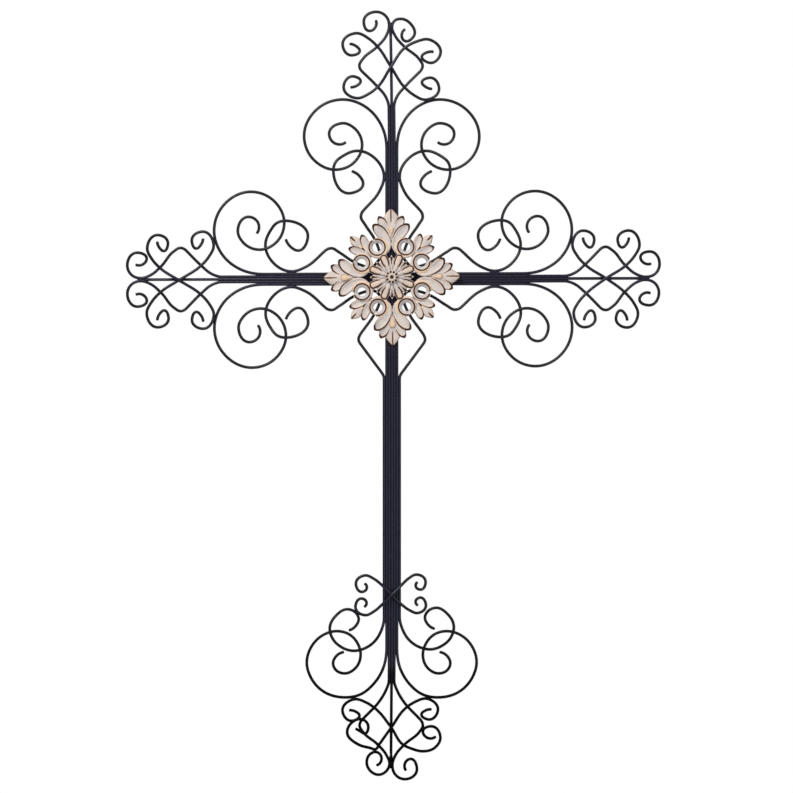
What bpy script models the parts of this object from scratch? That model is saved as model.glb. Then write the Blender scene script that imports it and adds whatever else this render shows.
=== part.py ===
"""Wall cross of bent steel wire with a cast flower medallion where the bars meet.

Metres, +Z up. The front of the cross faces -Y. The origin is the place that rests
on a wall hook: the crossing of the two scroll wires in the head of the cross.

Every wire is drawn in arm coordinates: along the arm away from the medallion's
centre, then sideways from the arm's axis. A form is the short list of stations that
a bender would mark on the bench, in millimetres, and a smooth bend joins them.
"""
import math

import bmesh
import bpy
from mathutils import Matrix, Vector

# Driving sizes
MM = 0.001
WIRE_DIAMETER = 0.0030
WELD_GAP = 0.0003
WIRE_SIDES = 5
BEND_TOLERANCE = 0.0009
CROSSBAR_DROP = 0.0020
CROSSBAR_TILT = math.radians(0.15)
HEAD_LEAN = -0.0101
HEAD_LEAN_START = 0.1500
FOOT_LEAN = -0.0075
FOOT_LEAN_START = 0.4270
HEAD_CENTRE_WIRE_END = 0.2830
FOOT_CENTRE_WIRE_END = 0.5535
CROSSBAR_CENTRE_WIRE_END = 0.2835
RIGHT_ARM_EXTRA = 0.0030
RIGHT_ARM_EXTRA_RAMP = 0.070
LEFT_CROSSED_ASIDE = -0.0018
FOOT_FINIAL_SHIFT = 0.2745
FOOT_SCROLL_LIFT_RIGHT = 0.0017
HEAD_CROSSING = 0.2437
ARM_CROSSING = 0.2455
FOOT_CROSSING = 0.5221
SHAFT_CROSSING = 0.3684
HOOK_ABOVE_CENTRE = HEAD_CROSSING
HOOK_ASIDE = HEAD_LEAN * (HEAD_CROSSING - HEAD_LEAN_START)

# Layers of the wires, front to back
LANE = WIRE_DIAMETER
LAYER = WIRE_DIAMETER + WELD_GAP
UPRIGHT_DEPTH = 0.0
CROSSBAR_DEPTH = LAYER

# The medallion
MEDALLION_RADIUS = 0.0796
MEDALLION_TURN = math.radians(0.85)
MEDALLION_GAP = 0.0004
LEAF_EDGE = 0.0030
LEAF_RIDGE = 0.0058
RING_PLACE = (0.0166, 0.0348)
RING_RADIUS = 0.0122
RING_BAND_DROP = 0.0009
RING_HOLE_RADIUS = 0.0050
RING_SIDES = 10
RING_THICKNESS = 0.0052
DAISY_RADIUS = 0.0284
DAISY_NARROW_RADIUS = 0.0252
DAISY_NOTCH_RADIUS = 0.0228
DAISY_THICKNESS = 0.0078
BOSS_RADIUS = 0.0079
BOSS_THICKNESS = 0.0105

# Finishes
WIRE_COLOUR = (0.022, 0.021, 0.028, 1.0)
MEDALLION_COLOUR = (0.74, 0.66, 0.57, 1.0)

# Forms: stations in millimetres (along the arm, sideways from its axis)
FINIAL_FORM = [
    (197.0, 3.0), (209.5, 6.6), (221.0, 15.9), (238.5, 33.5), (245.5, 36.7), (253.0, 32.7),
    (267.4, 15.7), (280.0, 5.2), (291.0, 1.7), (300.4, 4.2), (307.0, 16.8), (295.0, 31.3),
    (284.5, 23.6), (288.8, 17.8), (297.5, 17.4),
]
FINIAL_NECK = 8
FOOT_FINIAL_START = [(193.0, 3.0), (204.6, 6.4), (216.2, 13.0)]
HEAD_RIGHT_CURL = [
    (297.2, 4.4), (299.6, 12.4), (295.4, 21.8), (278.8, 26.3), (274.8, 15.1), (281.0, 12.8),
    (287.9, 17.0),
]
FOOT_LEFT_CURL = [
    (572.9, 5.3), (577.1, 13.6), (571.8, 24.6), (562.8, 28.1), (552.9, 23.8), (550.7, 17.7),
    (558.6, 10.9), (566.4, 17.0),
]
FOOT_RIGHT_CURL = [
    (575.3, 4.0), (582.3, 16.2), (569.6, 30.2), (559.0, 21.4), (564.9, 16.0), (572.6, 17.6),
]
CROSSED_FORM = [
    (0.0, 0.0), (23.5, 15.3), (32.8, 25.5), (38.9, 39.8), (25.5, 55.4), (13.6, 44.3),
    (19.7, 36.0), (23.4, 39.1), (26.7, 47.6),
]
CROSSED_PIVOT = 1
# A third number is how many layers further forward the wire is
FOOT_LOWER_RIGHT_FORM = [
    (0.0, 0.0), (20.3, 14.3), (24.7, 24.2), (27.6, 36.5), (23.5, 50.7), (11.8, 57.1),
    (-1.3, 45.5), (4.6, 36.8), (11.1, 40.5), (10.3, 52.0),
]
FOOT_LOWER_LEFT_FORM = [
    (0.0, 0.0), (20.5, 14.3), (24.9, 17.3, 0.4), (23.4, 24.8, 0.8), (19.3, 38.3, 1.0),
    (5.0, 51.0, 1.0), (-6.3, 45.1, 1.0), (-9.9, 36.4, 1.0), (-7.0, 29.2, 1.0), (0.9, 26.6, 1.0),
    (6.7, 29.9, 1.0), (3.8, 36.4, 1.0), (0.9, 41.5, 1.0),
]
BIG_SCROLL_FORM = [
    (148.5, 6.0), (173.6, 10.7), (196.0, 27.8), (206.1, 56.8), (194.3, 87.0), (163.8, 101.6),
    (135.9, 90.3), (124.7, 63.8), (134.6, 42.3), (154.3, 34.4), (172.8, 43.2), (178.6, 56.3),
    (165.2, 72.5), (154.4, 63.8), (156.7, 53.0),
]
BIG_SCROLL_PIVOT = 3
FOOT_SCROLL_FORM = [
    (429.0, 6.0), (454.6, 10.2), (470.8, 19.9), (484.8, 38.0), (487.4, 55.0), (480.9, 78.4),
    (465.2, 93.2), (446.0, 98.5), (429.0, 93.5), (415.0, 79.6), (410.6, 64.3), (414.7, 48.8),
    (425.7, 39.2), (438.5, 36.1), (453.6, 42.1), (459.6, 54.9), (456.0, 64.3), (447.8, 68.0),
    (439.9, 64.7), (434.8, 55.2),
]
SHAFT_CROSSED_FORM = [
    (0.0, 0.0), (10.2, 10.2), (19.0, 20.6), (22.9, 29.4), (13.0, 40.6), (4.6, 33.2),
    (8.5, 28.5), (14.0, 31.1),
]
# A third number is how many layers the wire springs back where it laces the big scroll
CORNER_FORM = [
    (123.0, 46.7, 0.0), (116.8, 37.1, 0.0), (110.2, 33.4, 0.0), (97.4, 47.6, -0.5),
    (120.0, 67.6, -1.05), (132.2, 65.8, -1.05), (140.9, 56.2, 0.0), (146.7, 40.0, 1.05),
    (138.6, 20.3, 0.4), (116.3, 9.0, 0.0), (99.8, 14.3, 0.0), (76.6, 33.6, 0.0),
    (69.6, 35.8, 0.0), (61.5, 31.4, 0.0), (44.3, 20.0, 0.0), (31.0, 14.7, 0.0), (23.5, 13.4, 0.0),
]
CORNER_TURN = (17.3, 17.3)
FOOT_CORNER_FORM = [
    (23.5, 13.4, 0.0), (31.0, 14.7, 0.0), (43.6, 20.6, 0.0), (62.5, 33.9, 0.0),
    (67.5, 37.2, 0.0), (72.3, 38.6, 0.0), (77.5, 36.4, 0.0), (109.0, 13.0, 0.0),
    (117.5, 9.0, 0.0), (395.6, 9.0, 0.0), (410.0, 12.3, 0.0),
    (422.6, 20.0, 0.5), (431.5, 33.4, 1.05), (433.6, 44.1, 1.0), (428.4, 59.6, 0.0),
    (419.2, 68.6, -1.05), (406.6, 71.9, -1.05), (392.5, 64.7, 0.0),
    (385.2, 51.5, 0.0), (389.0, 42.1, 0.0), (396.5, 38.4, 0.0), (403.7, 41.2, 0.0),
    (409.7, 50.0, 0.0),
]
SHAFT_LANE_STATIONS = 9


def clear_scene():
    for item in list(bpy.data.objects):
        bpy.data.objects.remove(item, do_unlink=True)


def finish(name, colour, roughness, metallic):
    material = bpy.data.materials.new(name)
    material.use_nodes = True
    shader = material.node_tree.nodes["Principled BSDF"]
    shader.inputs["Base Color"].default_value = colour
    shader.inputs["Roughness"].default_value = roughness
    shader.inputs["Metallic"].default_value = metallic
    return material


def add_object(name, mesh, material):
    item = bpy.data.objects.new(name, mesh)
    bpy.context.scene.collection.objects.link(item)
    mesh.materials.append(material)
    mesh.shade_smooth()
    mesh.set_sharp_from_angle(angle=math.radians(40))
    return item


# Placing

def arm_place(arm, side, station, layer_shift=0.0):
    """World point of a station on an arm; side is +1 or -1 across the arm."""
    along = station[0] * MM
    across = station[1] * MM * side
    layer = (station[2] if len(station) > 2 else 0.0) + layer_shift
    if arm in ("head", "foot"):
        up = along if arm == "head" else -along
        x = across + HEAD_LEAN * max(0.0, up - HEAD_LEAN_START)
        x += FOOT_LEAN * max(0.0, -up - FOOT_LEAN_START)
        return Vector((x - HOOK_ASIDE, UPRIGHT_DEPTH + layer * LAYER, up - HOOK_ABOVE_CENTRE))
    out = -along
    if arm == "right":
        out = along + RIGHT_ARM_EXTRA * min(1.0, along / RIGHT_ARM_EXTRA_RAMP)
    x = out * math.cos(CROSSBAR_TILT) - across * math.sin(CROSSBAR_TILT)
    z = out * math.sin(CROSSBAR_TILT) + across * math.cos(CROSSBAR_TILT)
    z -= HOOK_ABOVE_CENTRE + CROSSBAR_DROP
    return Vector((x - HOOK_ASIDE, CROSSBAR_DEPTH + layer * LAYER, z))


def sprung(form, pivot, turn_degrees, size=1.0):
    """The form with everything past its pivot station turned about it, as a hand bend is."""
    turn = math.radians(turn_degrees)
    base = form[pivot]
    result = list(form[:pivot + 1])
    for station in form[pivot + 1:]:
        along = (station[0] - base[0]) * size
        across = (station[1] - base[1]) * size
        new_along = base[0] + along * math.cos(turn) - across * math.sin(turn)
        new_across = base[1] + along * math.sin(turn) + across * math.cos(turn)
        result.append((new_along, new_across) + tuple(station[2:]))
    return result


def shifted(form, along_shift):
    return [(s[0] + along_shift / MM,) + tuple(s[1:]) for s in form]


# Bending

def headings(stations):
    """Direction at each station: that of the arc through it and its neighbours.

    Where one neighbour is much further away, the wire runs straight to it.
    """
    result = []
    last = len(stations) - 1
    for i, here in enumerate(stations):
        if i == 0 or i == last:
            result.append(None)
            continue
        before = here - stations[i - 1]
        after = stations[i + 1] - here
        if before.length > 3.0 * after.length:
            result.append(before.normalized())
        elif after.length > 3.0 * before.length:
            result.append(after.normalized())
        else:
            arc = before.normalized() * after.length + after.normalized() * before.length
            result.append(arc.normalized())
    for end, inner, run in ((0, 1, stations[1] - stations[0]),
                            (last, last - 1, stations[last] - stations[last - 1])):
        chord = run.normalized()
        inward = result[inner] or chord
        result[end] = (2.0 * chord.dot(inward) * chord - inward).normalized()
    return result


def bend(stations, tolerance):
    """Points along the smooth wire, no further than the tolerance from its curve."""
    directions = headings(stations)
    points = [stations[0]]
    for i in range(len(stations) - 1):
        start, end = stations[i], stations[i + 1]
        chord = end - start
        turn = directions[i].angle(chord) + directions[i + 1].angle(chord)
        handle = chord.length * (2.0 / 3.0) / (1.0 + math.cos(turn / 2.0))
        near = start + directions[i] * handle
        far = end - directions[i + 1] * handle
        radius = chord.length / max(turn, 0.001)
        step = 2.0 * math.acos(max(0.0, 1.0 - tolerance / radius))
        count = max(1, math.ceil(turn / step - 0.15))
        for k in range(1, count + 1):
            t = k / count
            points.append(start * (1 - t) ** 3 + near * 3 * t * (1 - t) ** 2
                          + far * 3 * t * t * (1 - t) + end * t ** 3)
    return points


def wire_mesh(name, points):
    """A solid wire along the points, just slim enough to lie beside the next lane."""
    radius = WIRE_DIAMETER / 2.0
    widest = max(abs(math.cos(2.0 * math.pi * k / WIRE_SIDES + math.pi / 2.0)) for k in range(WIRE_SIDES))
    half_width = (LANE - WELD_GAP) / 2.0 / widest
    depth_axis = Vector((0.0, 1.0, 0.0))
    mesh_data = bmesh.new()
    rings = []
    for i, point in enumerate(points):
        into = (point - points[i - 1]).normalized() if i else None
        out = (points[i + 1] - point).normalized() if i < len(points) - 1 else None
        along = ((into or out) + (out or into)).normalized()
        across = along.cross(depth_axis).normalized()
        widen = 1.0 / max(0.5, along.dot(out or into))
        ring = []
        for k in range(WIRE_SIDES):
            angle = 2.0 * math.pi * k / WIRE_SIDES - math.pi / 2.0
            offset = across * (math.cos(angle) * half_width * widen)
            offset += depth_axis * (math.sin(angle) * radius)
            ring.append(mesh_data.verts.new(point + offset))
        rings.append(ring)
    for first, second in zip(rings, rings[1:]):
        for k in range(WIRE_SIDES):
            n = (k + 1) % WIRE_SIDES
            mesh_data.faces.new((first[k], first[n], second[n], second[k]))
    mesh_data.faces.new(list(reversed(rings[0])))
    mesh_data.faces.new(rings[-1])
    bmesh.ops.recalc_face_normals(mesh_data, faces=mesh_data.faces)
    mesh = bpy.data.meshes.new(name)
    mesh_data.to_mesh(mesh)
    mesh_data.free()
    return mesh


def add_wire(name, stations, material):
    return add_object(name, wire_mesh(name, bend(stations, BEND_TOLERANCE)), material)


# Wires

def end_to_end(first, second):
    """One wire whose two ends are formed: first form reversed, then the second."""
    return list(reversed(first)) + second


def placed(arm, side, form, layer_shift=0.0):
    return [arm_place(arm, side, station, layer_shift) for station in form]


def centre_wires(material):
    foot_spread = shifted(FOOT_FINIAL_START, FOOT_FINIAL_SHIFT)[0][0]
    upright = [arm_place("head", 1, (HEAD_CENTRE_WIRE_END / MM, 0.0)),
               arm_place("head", 1, (HEAD_LEAN_START / MM, 0.0)),
               arm_place("foot", 1, (FOOT_LEAN_START / MM, 0.0)),
               arm_place("foot", 1, (foot_spread, 0.0)),
               arm_place("foot", 1, (FOOT_CENTRE_WIRE_END / MM, 0.0))]
    add_wire("upright_centre_wire", upright, material)
    crossbar = [arm_place("left", 1, (CROSSBAR_CENTRE_WIRE_END / MM, 0.0)),
                arm_place("right", 1, (CROSSBAR_CENTRE_WIRE_END / MM, 0.0))]
    add_wire("crossbar_centre_wire", crossbar, material)


def lozenge_wires(material):
    """The inner pair of each bar: its ends make the pointed diamonds and the finial curls."""
    foot_form = shifted(FOOT_FINIAL_START + FINIAL_FORM[3:], FOOT_FINIAL_SHIFT)
    lane_start = [(HEAD_LEAN_START / MM, FINIAL_FORM[0][1])]
    head_left = placed("head", -1, lane_start + sprung(FINIAL_FORM, FINIAL_NECK, -3.0))
    head_right = placed("head", 1, lane_start + FINIAL_FORM[:FINIAL_NECK + 1] + HEAD_RIGHT_CURL)
    lane_end = [(FOOT_LEAN_START / MM, FINIAL_FORM[0][1])]
    foot_left = placed("foot", -1, lane_end + foot_form[:FINIAL_NECK + 1] + FOOT_LEFT_CURL)
    foot_right = placed("foot", 1, lane_end + foot_form[:FINIAL_NECK + 1] + FOOT_RIGHT_CURL)
    add_wire("upright_lozenge_wire_left", end_to_end(head_left, foot_left), material)
    add_wire("upright_lozenge_wire_right", end_to_end(head_right, foot_right), material)
    for side, word in ((1, "upper"), (-1, "lower")):
        right = sprung(FINIAL_FORM, FINIAL_NECK, -3.0 if side > 0 else 0.0)
        ends = end_to_end(placed("left", side, FINIAL_FORM), placed("right", side, right))
        add_wire(f"crossbar_lozenge_wire_{word}", ends, material)


def big_scroll_wires(material):
    """The outer pair of each bar: its ends roll up into the big scrolls."""
    for side, word in ((-1, "left"), (1, "right")):
        ends = end_to_end(placed("head", side, BIG_SCROLL_FORM), placed("foot", side, FOOT_SCROLL_FORM))
        add_wire(f"upright_scroll_wire_{word}", ends, material)
    for side, word in ((1, "upper"), (-1, "lower")):
        left = sprung(BIG_SCROLL_FORM, BIG_SCROLL_PIVOT, 0.0, 1.0 if side > 0 else 1.02)
        ends = end_to_end(placed("left", side, left), placed("right", side, BIG_SCROLL_FORM))
        add_wire(f"crossbar_scroll_wire_{word}", ends, material)


def corner_wires(material):
    """One wire for each corner of the cross; the lower two run on down the shaft."""
    for side, word in ((-1, "left"), (1, "right")):
        turn_up = arm_place("head", side, CORNER_TURN, 0.5)
        upper = placed("head", side, CORNER_FORM) + [turn_up]
        upper += list(reversed(placed(word, 1, CORNER_FORM)))
        add_wire(f"corner_wire_upper_{word}", upper, material)
        turn_down = arm_place("foot", side, CORNER_TURN, 0.5)
        lift = FOOT_SCROLL_LIFT_RIGHT if side > 0 else 0.0
        foot = FOOT_CORNER_FORM[:SHAFT_LANE_STATIONS]
        foot = foot + shifted(FOOT_CORNER_FORM[SHAFT_LANE_STATIONS:], -lift)
        lower = placed(word, -1, CORNER_FORM) + [turn_down] + placed("foot", side, foot)
        add_wire(f"corner_wire_lower_{word}", lower, material)


def opened(form, splay, turn, size):
    """The form splayed about the crossing, then turned and sized past the lozenge wire.

    No two ends sprang back alike from the bending, so most have values of their own.
    """
    return sprung(sprung(form, 0, splay), CROSSED_PIVOT, turn, size)


def crossed_wire(name, arm, crossing, side, in_front, outer, inner, material, aside=0.0):
    """An S-shaped wire through the crossing, made of its outer and inner end forms."""
    halves = []
    for end, form in ((1, outer), (-1, inner)):
        stations = []
        for i, station in enumerate(form):
            layer = -1.0 - (station[2] if len(station) > 2 else 0.0)
            if in_front and i == 0:
                layer = -2.0
            across = end * station[1] + aside / MM
            stations.append((crossing / MM + end * station[0], across, layer))
        halves.append(placed(arm, side, stations))
    return add_wire(name, end_to_end(halves[0], halves[1][1:]), material)


def crossed_wires(material):
    """Two S-shaped wires cross in each arm and on the shaft, one over the other."""
    form = CROSSED_FORM
    crossed_wire("head_crossed_wire_back", "head", HEAD_CROSSING, -1, False,
                 opened(form, 0.0, 0.0, 1.01), opened(form, 0.0, 2.0, 1.0), material)
    crossed_wire("head_crossed_wire_front", "head", HEAD_CROSSING, 1, True,
                 opened(form, 3.5, 11.0, 1.03), opened(form, 1.0, 4.0, 0.98), material)
    crossed_wire("left_arm_crossed_wire_front", "left", ARM_CROSSING, 1, True,
                 opened(form, 0.0, 0.0, 0.95), form, material, LEFT_CROSSED_ASIDE)
    crossed_wire("left_arm_crossed_wire_back", "left", ARM_CROSSING, -1, False, form, form, material)
    crossed_wire("right_arm_crossed_wire_front", "right", ARM_CROSSING, 1, True,
                 form, opened(form, 4.0, -4.0, 0.99), material)
    crossed_wire("right_arm_crossed_wire_back", "right", ARM_CROSSING, -1, False,
                 opened(form, 4.0, -2.0, 1.0), form, material)
    crossed_wire("foot_crossed_wire_back", "foot", FOOT_CROSSING, 1, False,
                 FOOT_LOWER_RIGHT_FORM, opened(form, 7.0, 1.5, 0.96), material)
    crossed_wire("foot_crossed_wire_front", "foot", FOOT_CROSSING, -1, True,
                 FOOT_LOWER_LEFT_FORM, opened(form, 3.5, 5.0, 0.93), material)
    form = SHAFT_CROSSED_FORM
    crossed_wire("shaft_crossed_wire_back", "foot", SHAFT_CROSSING, 1, False,
                 opened(form, 0.0, 4.0, 0.96), opened(form, 0.0, 2.0, 1.03), material)
    crossed_wire("shaft_crossed_wire_front", "foot", SHAFT_CROSSING, -1, True,
                 opened(form, 0.0, 0.0, 1.05), opened(form, 0.0, -3.5, 0.96), material)


# Medallion: pieces are drawn in its own plane, x to the right and y up, thickness to the front

LEAF_PROFILE = ((0.50, 1.0), (0.88, 0.85))


def leaf(root, tip, half_width, root_width, edge, ridge):
    """A pointed lobe with a raised midrib, flat at the back."""
    bm = bmesh.new()
    root, tip = Vector(root), Vector(tip)
    run = tip - root
    side = Vector((-run.y, run.x)).normalized() * half_width
    left, right, middle = [], [], []
    profile = ((0.0, root_width / half_width),) + LEAF_PROFILE
    for share, width in profile:
        centre = root + run * share
        left.append(centre + side * width)
        right.append(centre - side * width)
        middle.append(centre)
    outline = right + [tip] + list(reversed(left))
    back = [bm.verts.new((p.x, p.y, 0.0)) for p in outline]
    front = [bm.verts.new((p.x, p.y, edge)) for p in outline]
    rib = [bm.verts.new((p.x, p.y, ridge)) for p in middle]
    count = len(outline)
    steps = len(profile)
    bm.faces.new(list(reversed(back)))
    for i in range(count):
        n = (i + 1) % count
        bm.faces.new((back[i], back[n], front[n], front[i]))
    for i in range(steps - 1):
        bm.faces.new((front[i], front[i + 1], rib[i + 1], rib[i]))
        bm.faces.new((front[count - 2 - i], front[count - 1 - i], rib[i], rib[i + 1]))
    bm.faces.new((front[steps - 1], front[steps], rib[-1]))
    bm.faces.new((front[steps], front[steps + 1], rib[-1]))
    bm.faces.new((front[count - 1], front[0], rib[0]))
    return bm


def star(radii, edge, middle):
    """A disc whose outline follows the radii in turn, domed to its middle."""
    bm = bmesh.new()
    count = len(radii)
    back, front = [], []
    for i, radius in enumerate(radii):
        angle = 2.0 * math.pi * i / count
        x, y = math.sin(angle) * radius, math.cos(angle) * radius
        back.append(bm.verts.new((x, y, 0.0)))
        front.append(bm.verts.new((x, y, edge)))
    top = bm.verts.new((0.0, 0.0, middle))
    bm.faces.new(back)
    for i in range(count):
        n = (i + 1) % count
        bm.faces.new((back[n], back[i], front[i], front[n]))
        bm.faces.new((front[n], front[i], top))
    return bm


def ring(hole_centre, band_centre):
    """A volute's eye: a band that slopes down to the hole through it."""
    bm = bmesh.new()
    loops = []
    for centre, radius, height in ((band_centre, RING_RADIUS, 0.0),
                                   (band_centre, RING_RADIUS, RING_THICKNESS),
                                   (hole_centre, RING_HOLE_RADIUS, RING_THICKNESS * 0.45),
                                   (hole_centre, RING_HOLE_RADIUS, 0.0)):
        loop = []
        for i in range(RING_SIDES):
            angle = 2.0 * math.pi * i / RING_SIDES
            x, y = centre[0] + math.cos(angle) * radius, centre[1] + math.sin(angle) * radius
            loop.append(bm.verts.new((x, y, height)))
        loops.append(loop)
    for first, second in zip(loops, loops[1:] + loops[:1]):
        for i in range(RING_SIDES):
            n = (i + 1) % RING_SIDES
            bm.faces.new((first[i], first[n], second[n], second[i]))
    # The two circles aren't concentric, so the slope between them is made of triangles
    bmesh.ops.triangulate(bm, faces=bm.faces)
    return bm


def turned(point, degrees):
    angle = math.radians(degrees)
    x, y = point
    return (x * math.cos(angle) + y * math.sin(angle), y * math.cos(angle) - x * math.sin(angle))


def medallion_pieces():
    """The lobes, volute eyes and flower, as closed solids that run into each other."""
    pieces = []
    for quarter in range(4):
        spin = 90.0 * quarter
        pieces.append(leaf(turned((0.0, 0.0334), spin), turned((0.0, MEDALLION_RADIUS), spin),
                           0.0072, 0.0066, LEAF_EDGE, LEAF_RIDGE))
        for hand in (-1, 1):
            pieces.append(leaf(turned((hand * 0.0040, 0.0485), spin),
                               turned((hand * 0.0143, 0.0708), spin),
                               0.0054, 0.0034, LEAF_EDGE, LEAF_RIDGE * 0.9))
            pieces.append(leaf(turned((hand * 0.0062, 0.0400), spin),
                               turned((hand * 0.0212, 0.0618), spin),
                               0.0062, 0.0044, LEAF_EDGE, LEAF_RIDGE * 0.9))
            hole_centre = turned((hand * RING_PLACE[0], RING_PLACE[1]), spin)
            band_centre = turned((hand * RING_PLACE[0], RING_PLACE[1] - RING_BAND_DROP), spin)
            pieces.append(ring(hole_centre, band_centre))
        diagonal = spin + 45.0
        pieces.append(leaf(turned((0.0, 0.038), diagonal), turned((0.0, 0.0680), diagonal),
                           0.0056, 0.0036, LEAF_EDGE, LEAF_RIDGE))
        for hand in (-1, 1):
            pieces.append(leaf(turned((hand * 0.0042, 0.0385), diagonal),
                               turned((hand * 0.0106, 0.0598), diagonal),
                               0.0048, 0.0042, LEAF_EDGE, LEAF_RIDGE * 0.9))
    radii = []
    for i in range(32):
        if i % 2:
            radii.append(DAISY_NOTCH_RADIUS)
        else:
            radii.append(DAISY_NARROW_RADIUS if i % 4 == 0 else DAISY_RADIUS)
    pieces.append(star(radii, DAISY_THICKNESS * 0.8, DAISY_THICKNESS))
    pieces.append(star([BOSS_RADIUS] * 12, BOSS_THICKNESS * 0.85, BOSS_THICKNESS))
    return pieces


def mesh_of(bm, name):
    bmesh.ops.recalc_face_normals(bm, faces=bm.faces)
    mesh = bpy.data.meshes.new(name)
    bm.to_mesh(mesh)
    bm.free()
    return mesh


def fused(name, pieces):
    """One solid of all the pieces, joined in one go."""
    body = bpy.data.objects.new(name, mesh_of(pieces[0], name))
    bpy.context.scene.collection.objects.link(body)
    others = bpy.data.collections.new("pieces to join")
    bpy.context.scene.collection.children.link(others)
    for bm in pieces[1:]:
        others.objects.link(bpy.data.objects.new("piece", mesh_of(bm, "piece")))
    union = body.modifiers.new("join", "BOOLEAN")
    union.operation = "UNION"
    union.operand_type = "COLLECTION"
    union.collection = others
    bpy.context.view_layer.update()
    graph = bpy.context.evaluated_depsgraph_get()
    mesh = bpy.data.meshes.new_from_object(body.evaluated_get(graph))
    for item in list(others.objects) + [body]:
        bpy.data.objects.remove(item, do_unlink=True)
    bpy.data.collections.remove(others)
    return mesh


def medallion(material):
    mesh = fused("floral_medallion", medallion_pieces())
    bm = bmesh.new()
    bm.from_mesh(mesh)
    bmesh.ops.remove_doubles(bm, verts=bm.verts, dist=0.00002)
    bmesh.ops.dissolve_limit(bm, angle_limit=math.radians(1.0), verts=bm.verts, edges=bm.edges)
    back = UPRIGHT_DEPTH - WIRE_DIAMETER / 2.0 - MEDALLION_GAP
    stand = Matrix(((1, 0, 0, -HOOK_ASIDE), (0, 0, -1, back), (0, 1, 0, -HOOK_ABOVE_CENTRE),
                    (0, 0, 0, 1)))
    stand = stand @ Matrix.Rotation(MEDALLION_TURN, 4, "Z")
    bmesh.ops.transform(bm, matrix=stand, verts=bm.verts)
    bmesh.ops.recalc_face_normals(bm, faces=bm.faces)
    bm.to_mesh(mesh)
    bm.free()
    add_object("floral_medallion", mesh, material)


def main():
    clear_scene()
    steel = finish("black_enamelled_wire", WIRE_COLOUR, 0.4, 0.0)
    plaster = finish("distressed_cream_casting", MEDALLION_COLOUR, 0.7, 0.0)
    centre_wires(steel)
    lozenge_wires(steel)
    big_scroll_wires(steel)
    corner_wires(steel)
    crossed_wires(steel)
    medallion(plaster)


main()
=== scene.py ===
"""Looks of the wire wall cross: round enamelled wires, weld beads and the relief medallion.

Metres, +Z up, the front faces -Y. The origin is the crossing of the two scroll wires in
the head, which rests on a wall hook. Wires are drawn in arm coordinates: along the arm
away from the medallion's centre, then sideways from the arm's axis, in millimetres.
"""
import math
import random

import bmesh
import bpy
import numpy as np
from bpy.props import (FloatProperty, FloatVectorProperty, IntProperty, PointerProperty)
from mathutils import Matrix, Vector


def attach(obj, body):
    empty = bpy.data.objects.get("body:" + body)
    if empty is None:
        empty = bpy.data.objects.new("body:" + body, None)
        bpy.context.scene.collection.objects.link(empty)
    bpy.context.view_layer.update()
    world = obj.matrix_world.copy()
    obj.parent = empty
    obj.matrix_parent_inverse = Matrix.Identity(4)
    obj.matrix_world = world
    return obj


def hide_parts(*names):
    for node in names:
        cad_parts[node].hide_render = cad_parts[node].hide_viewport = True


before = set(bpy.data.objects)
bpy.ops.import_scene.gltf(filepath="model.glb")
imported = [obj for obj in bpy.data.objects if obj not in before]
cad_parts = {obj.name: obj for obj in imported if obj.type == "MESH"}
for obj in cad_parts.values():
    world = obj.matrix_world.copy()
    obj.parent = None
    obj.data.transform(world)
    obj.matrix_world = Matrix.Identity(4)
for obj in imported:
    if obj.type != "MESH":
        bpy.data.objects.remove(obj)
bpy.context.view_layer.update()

bl_info = {
    "name": "Wire wall cross",
    "version": (1, 0, 0),
    "blender": (4, 5, 0),
    "location": "View3D > Sidebar > Wall cross",
    "description": "Builds the finish of a bent wire wall cross around its packed solids",
    "category": "Add Mesh",
}

# Sizes of the wires, in metres unless the name says otherwise
MM = 0.001
WIRE_DIAMETER = 0.0030
WELD_GAP = 0.0003
ENAMELLED_DIAMETER = 0.0035
LAYER = WIRE_DIAMETER + WELD_GAP
UPRIGHT_DEPTH = 0.0
CROSSBAR_DEPTH = LAYER
CROSSBAR_DROP = 0.0020
CROSSBAR_TILT = math.radians(0.15)
HEAD_LEAN = -0.0101
HEAD_LEAN_START = 0.1500
FOOT_LEAN = -0.0075
FOOT_LEAN_START = 0.4270
HEAD_CENTRE_WIRE_END = 0.2830
FOOT_CENTRE_WIRE_END = 0.5535
CROSSBAR_CENTRE_WIRE_END = 0.2835
RIGHT_ARM_EXTRA = 0.0030
RIGHT_ARM_EXTRA_RAMP = 0.070
LEFT_CROSSED_ASIDE = -0.0018
FOOT_FINIAL_SHIFT = 0.2745
FOOT_SCROLL_LIFT_RIGHT = 0.0017
HEAD_CROSSING = 0.2437
ARM_CROSSING = 0.2455
FOOT_CROSSING = 0.5221
SHAFT_CROSSING = 0.3684
HOOK_ABOVE_CENTRE = HEAD_CROSSING
HOOK_ASIDE = HEAD_LEAN * (HEAD_CROSSING - HEAD_LEAN_START)

# Forms: stations in millimetres (along the arm, sideways from its axis, layers to the back)
FINIAL_FORM = [
    (197.0, 3.0), (209.5, 6.6), (221.0, 15.9), (238.5, 33.5), (245.5, 36.7), (253.0, 32.7),
    (267.4, 15.7), (280.0, 5.2), (291.0, 1.7), (300.4, 4.2), (307.0, 16.8), (295.0, 31.3),
    (284.5, 23.6), (288.8, 17.8), (297.5, 17.4),
]
FINIAL_NECK = 8
FINIAL_CURL_TURN = -3.0
FOOT_FINIAL_START = [(193.0, 3.0), (204.6, 6.4), (216.2, 13.0)]
HEAD_RIGHT_CURL = [
    (297.2, 4.4), (299.6, 12.4), (295.4, 21.8), (278.8, 26.3), (274.8, 15.1), (281.0, 12.8),
    (287.9, 17.0),
]
FOOT_LEFT_CURL = [
    (572.9, 5.3), (577.1, 13.6), (571.8, 24.6), (562.8, 28.1), (552.9, 23.8), (550.7, 17.7),
    (558.6, 10.9), (566.4, 17.0),
]
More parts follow.
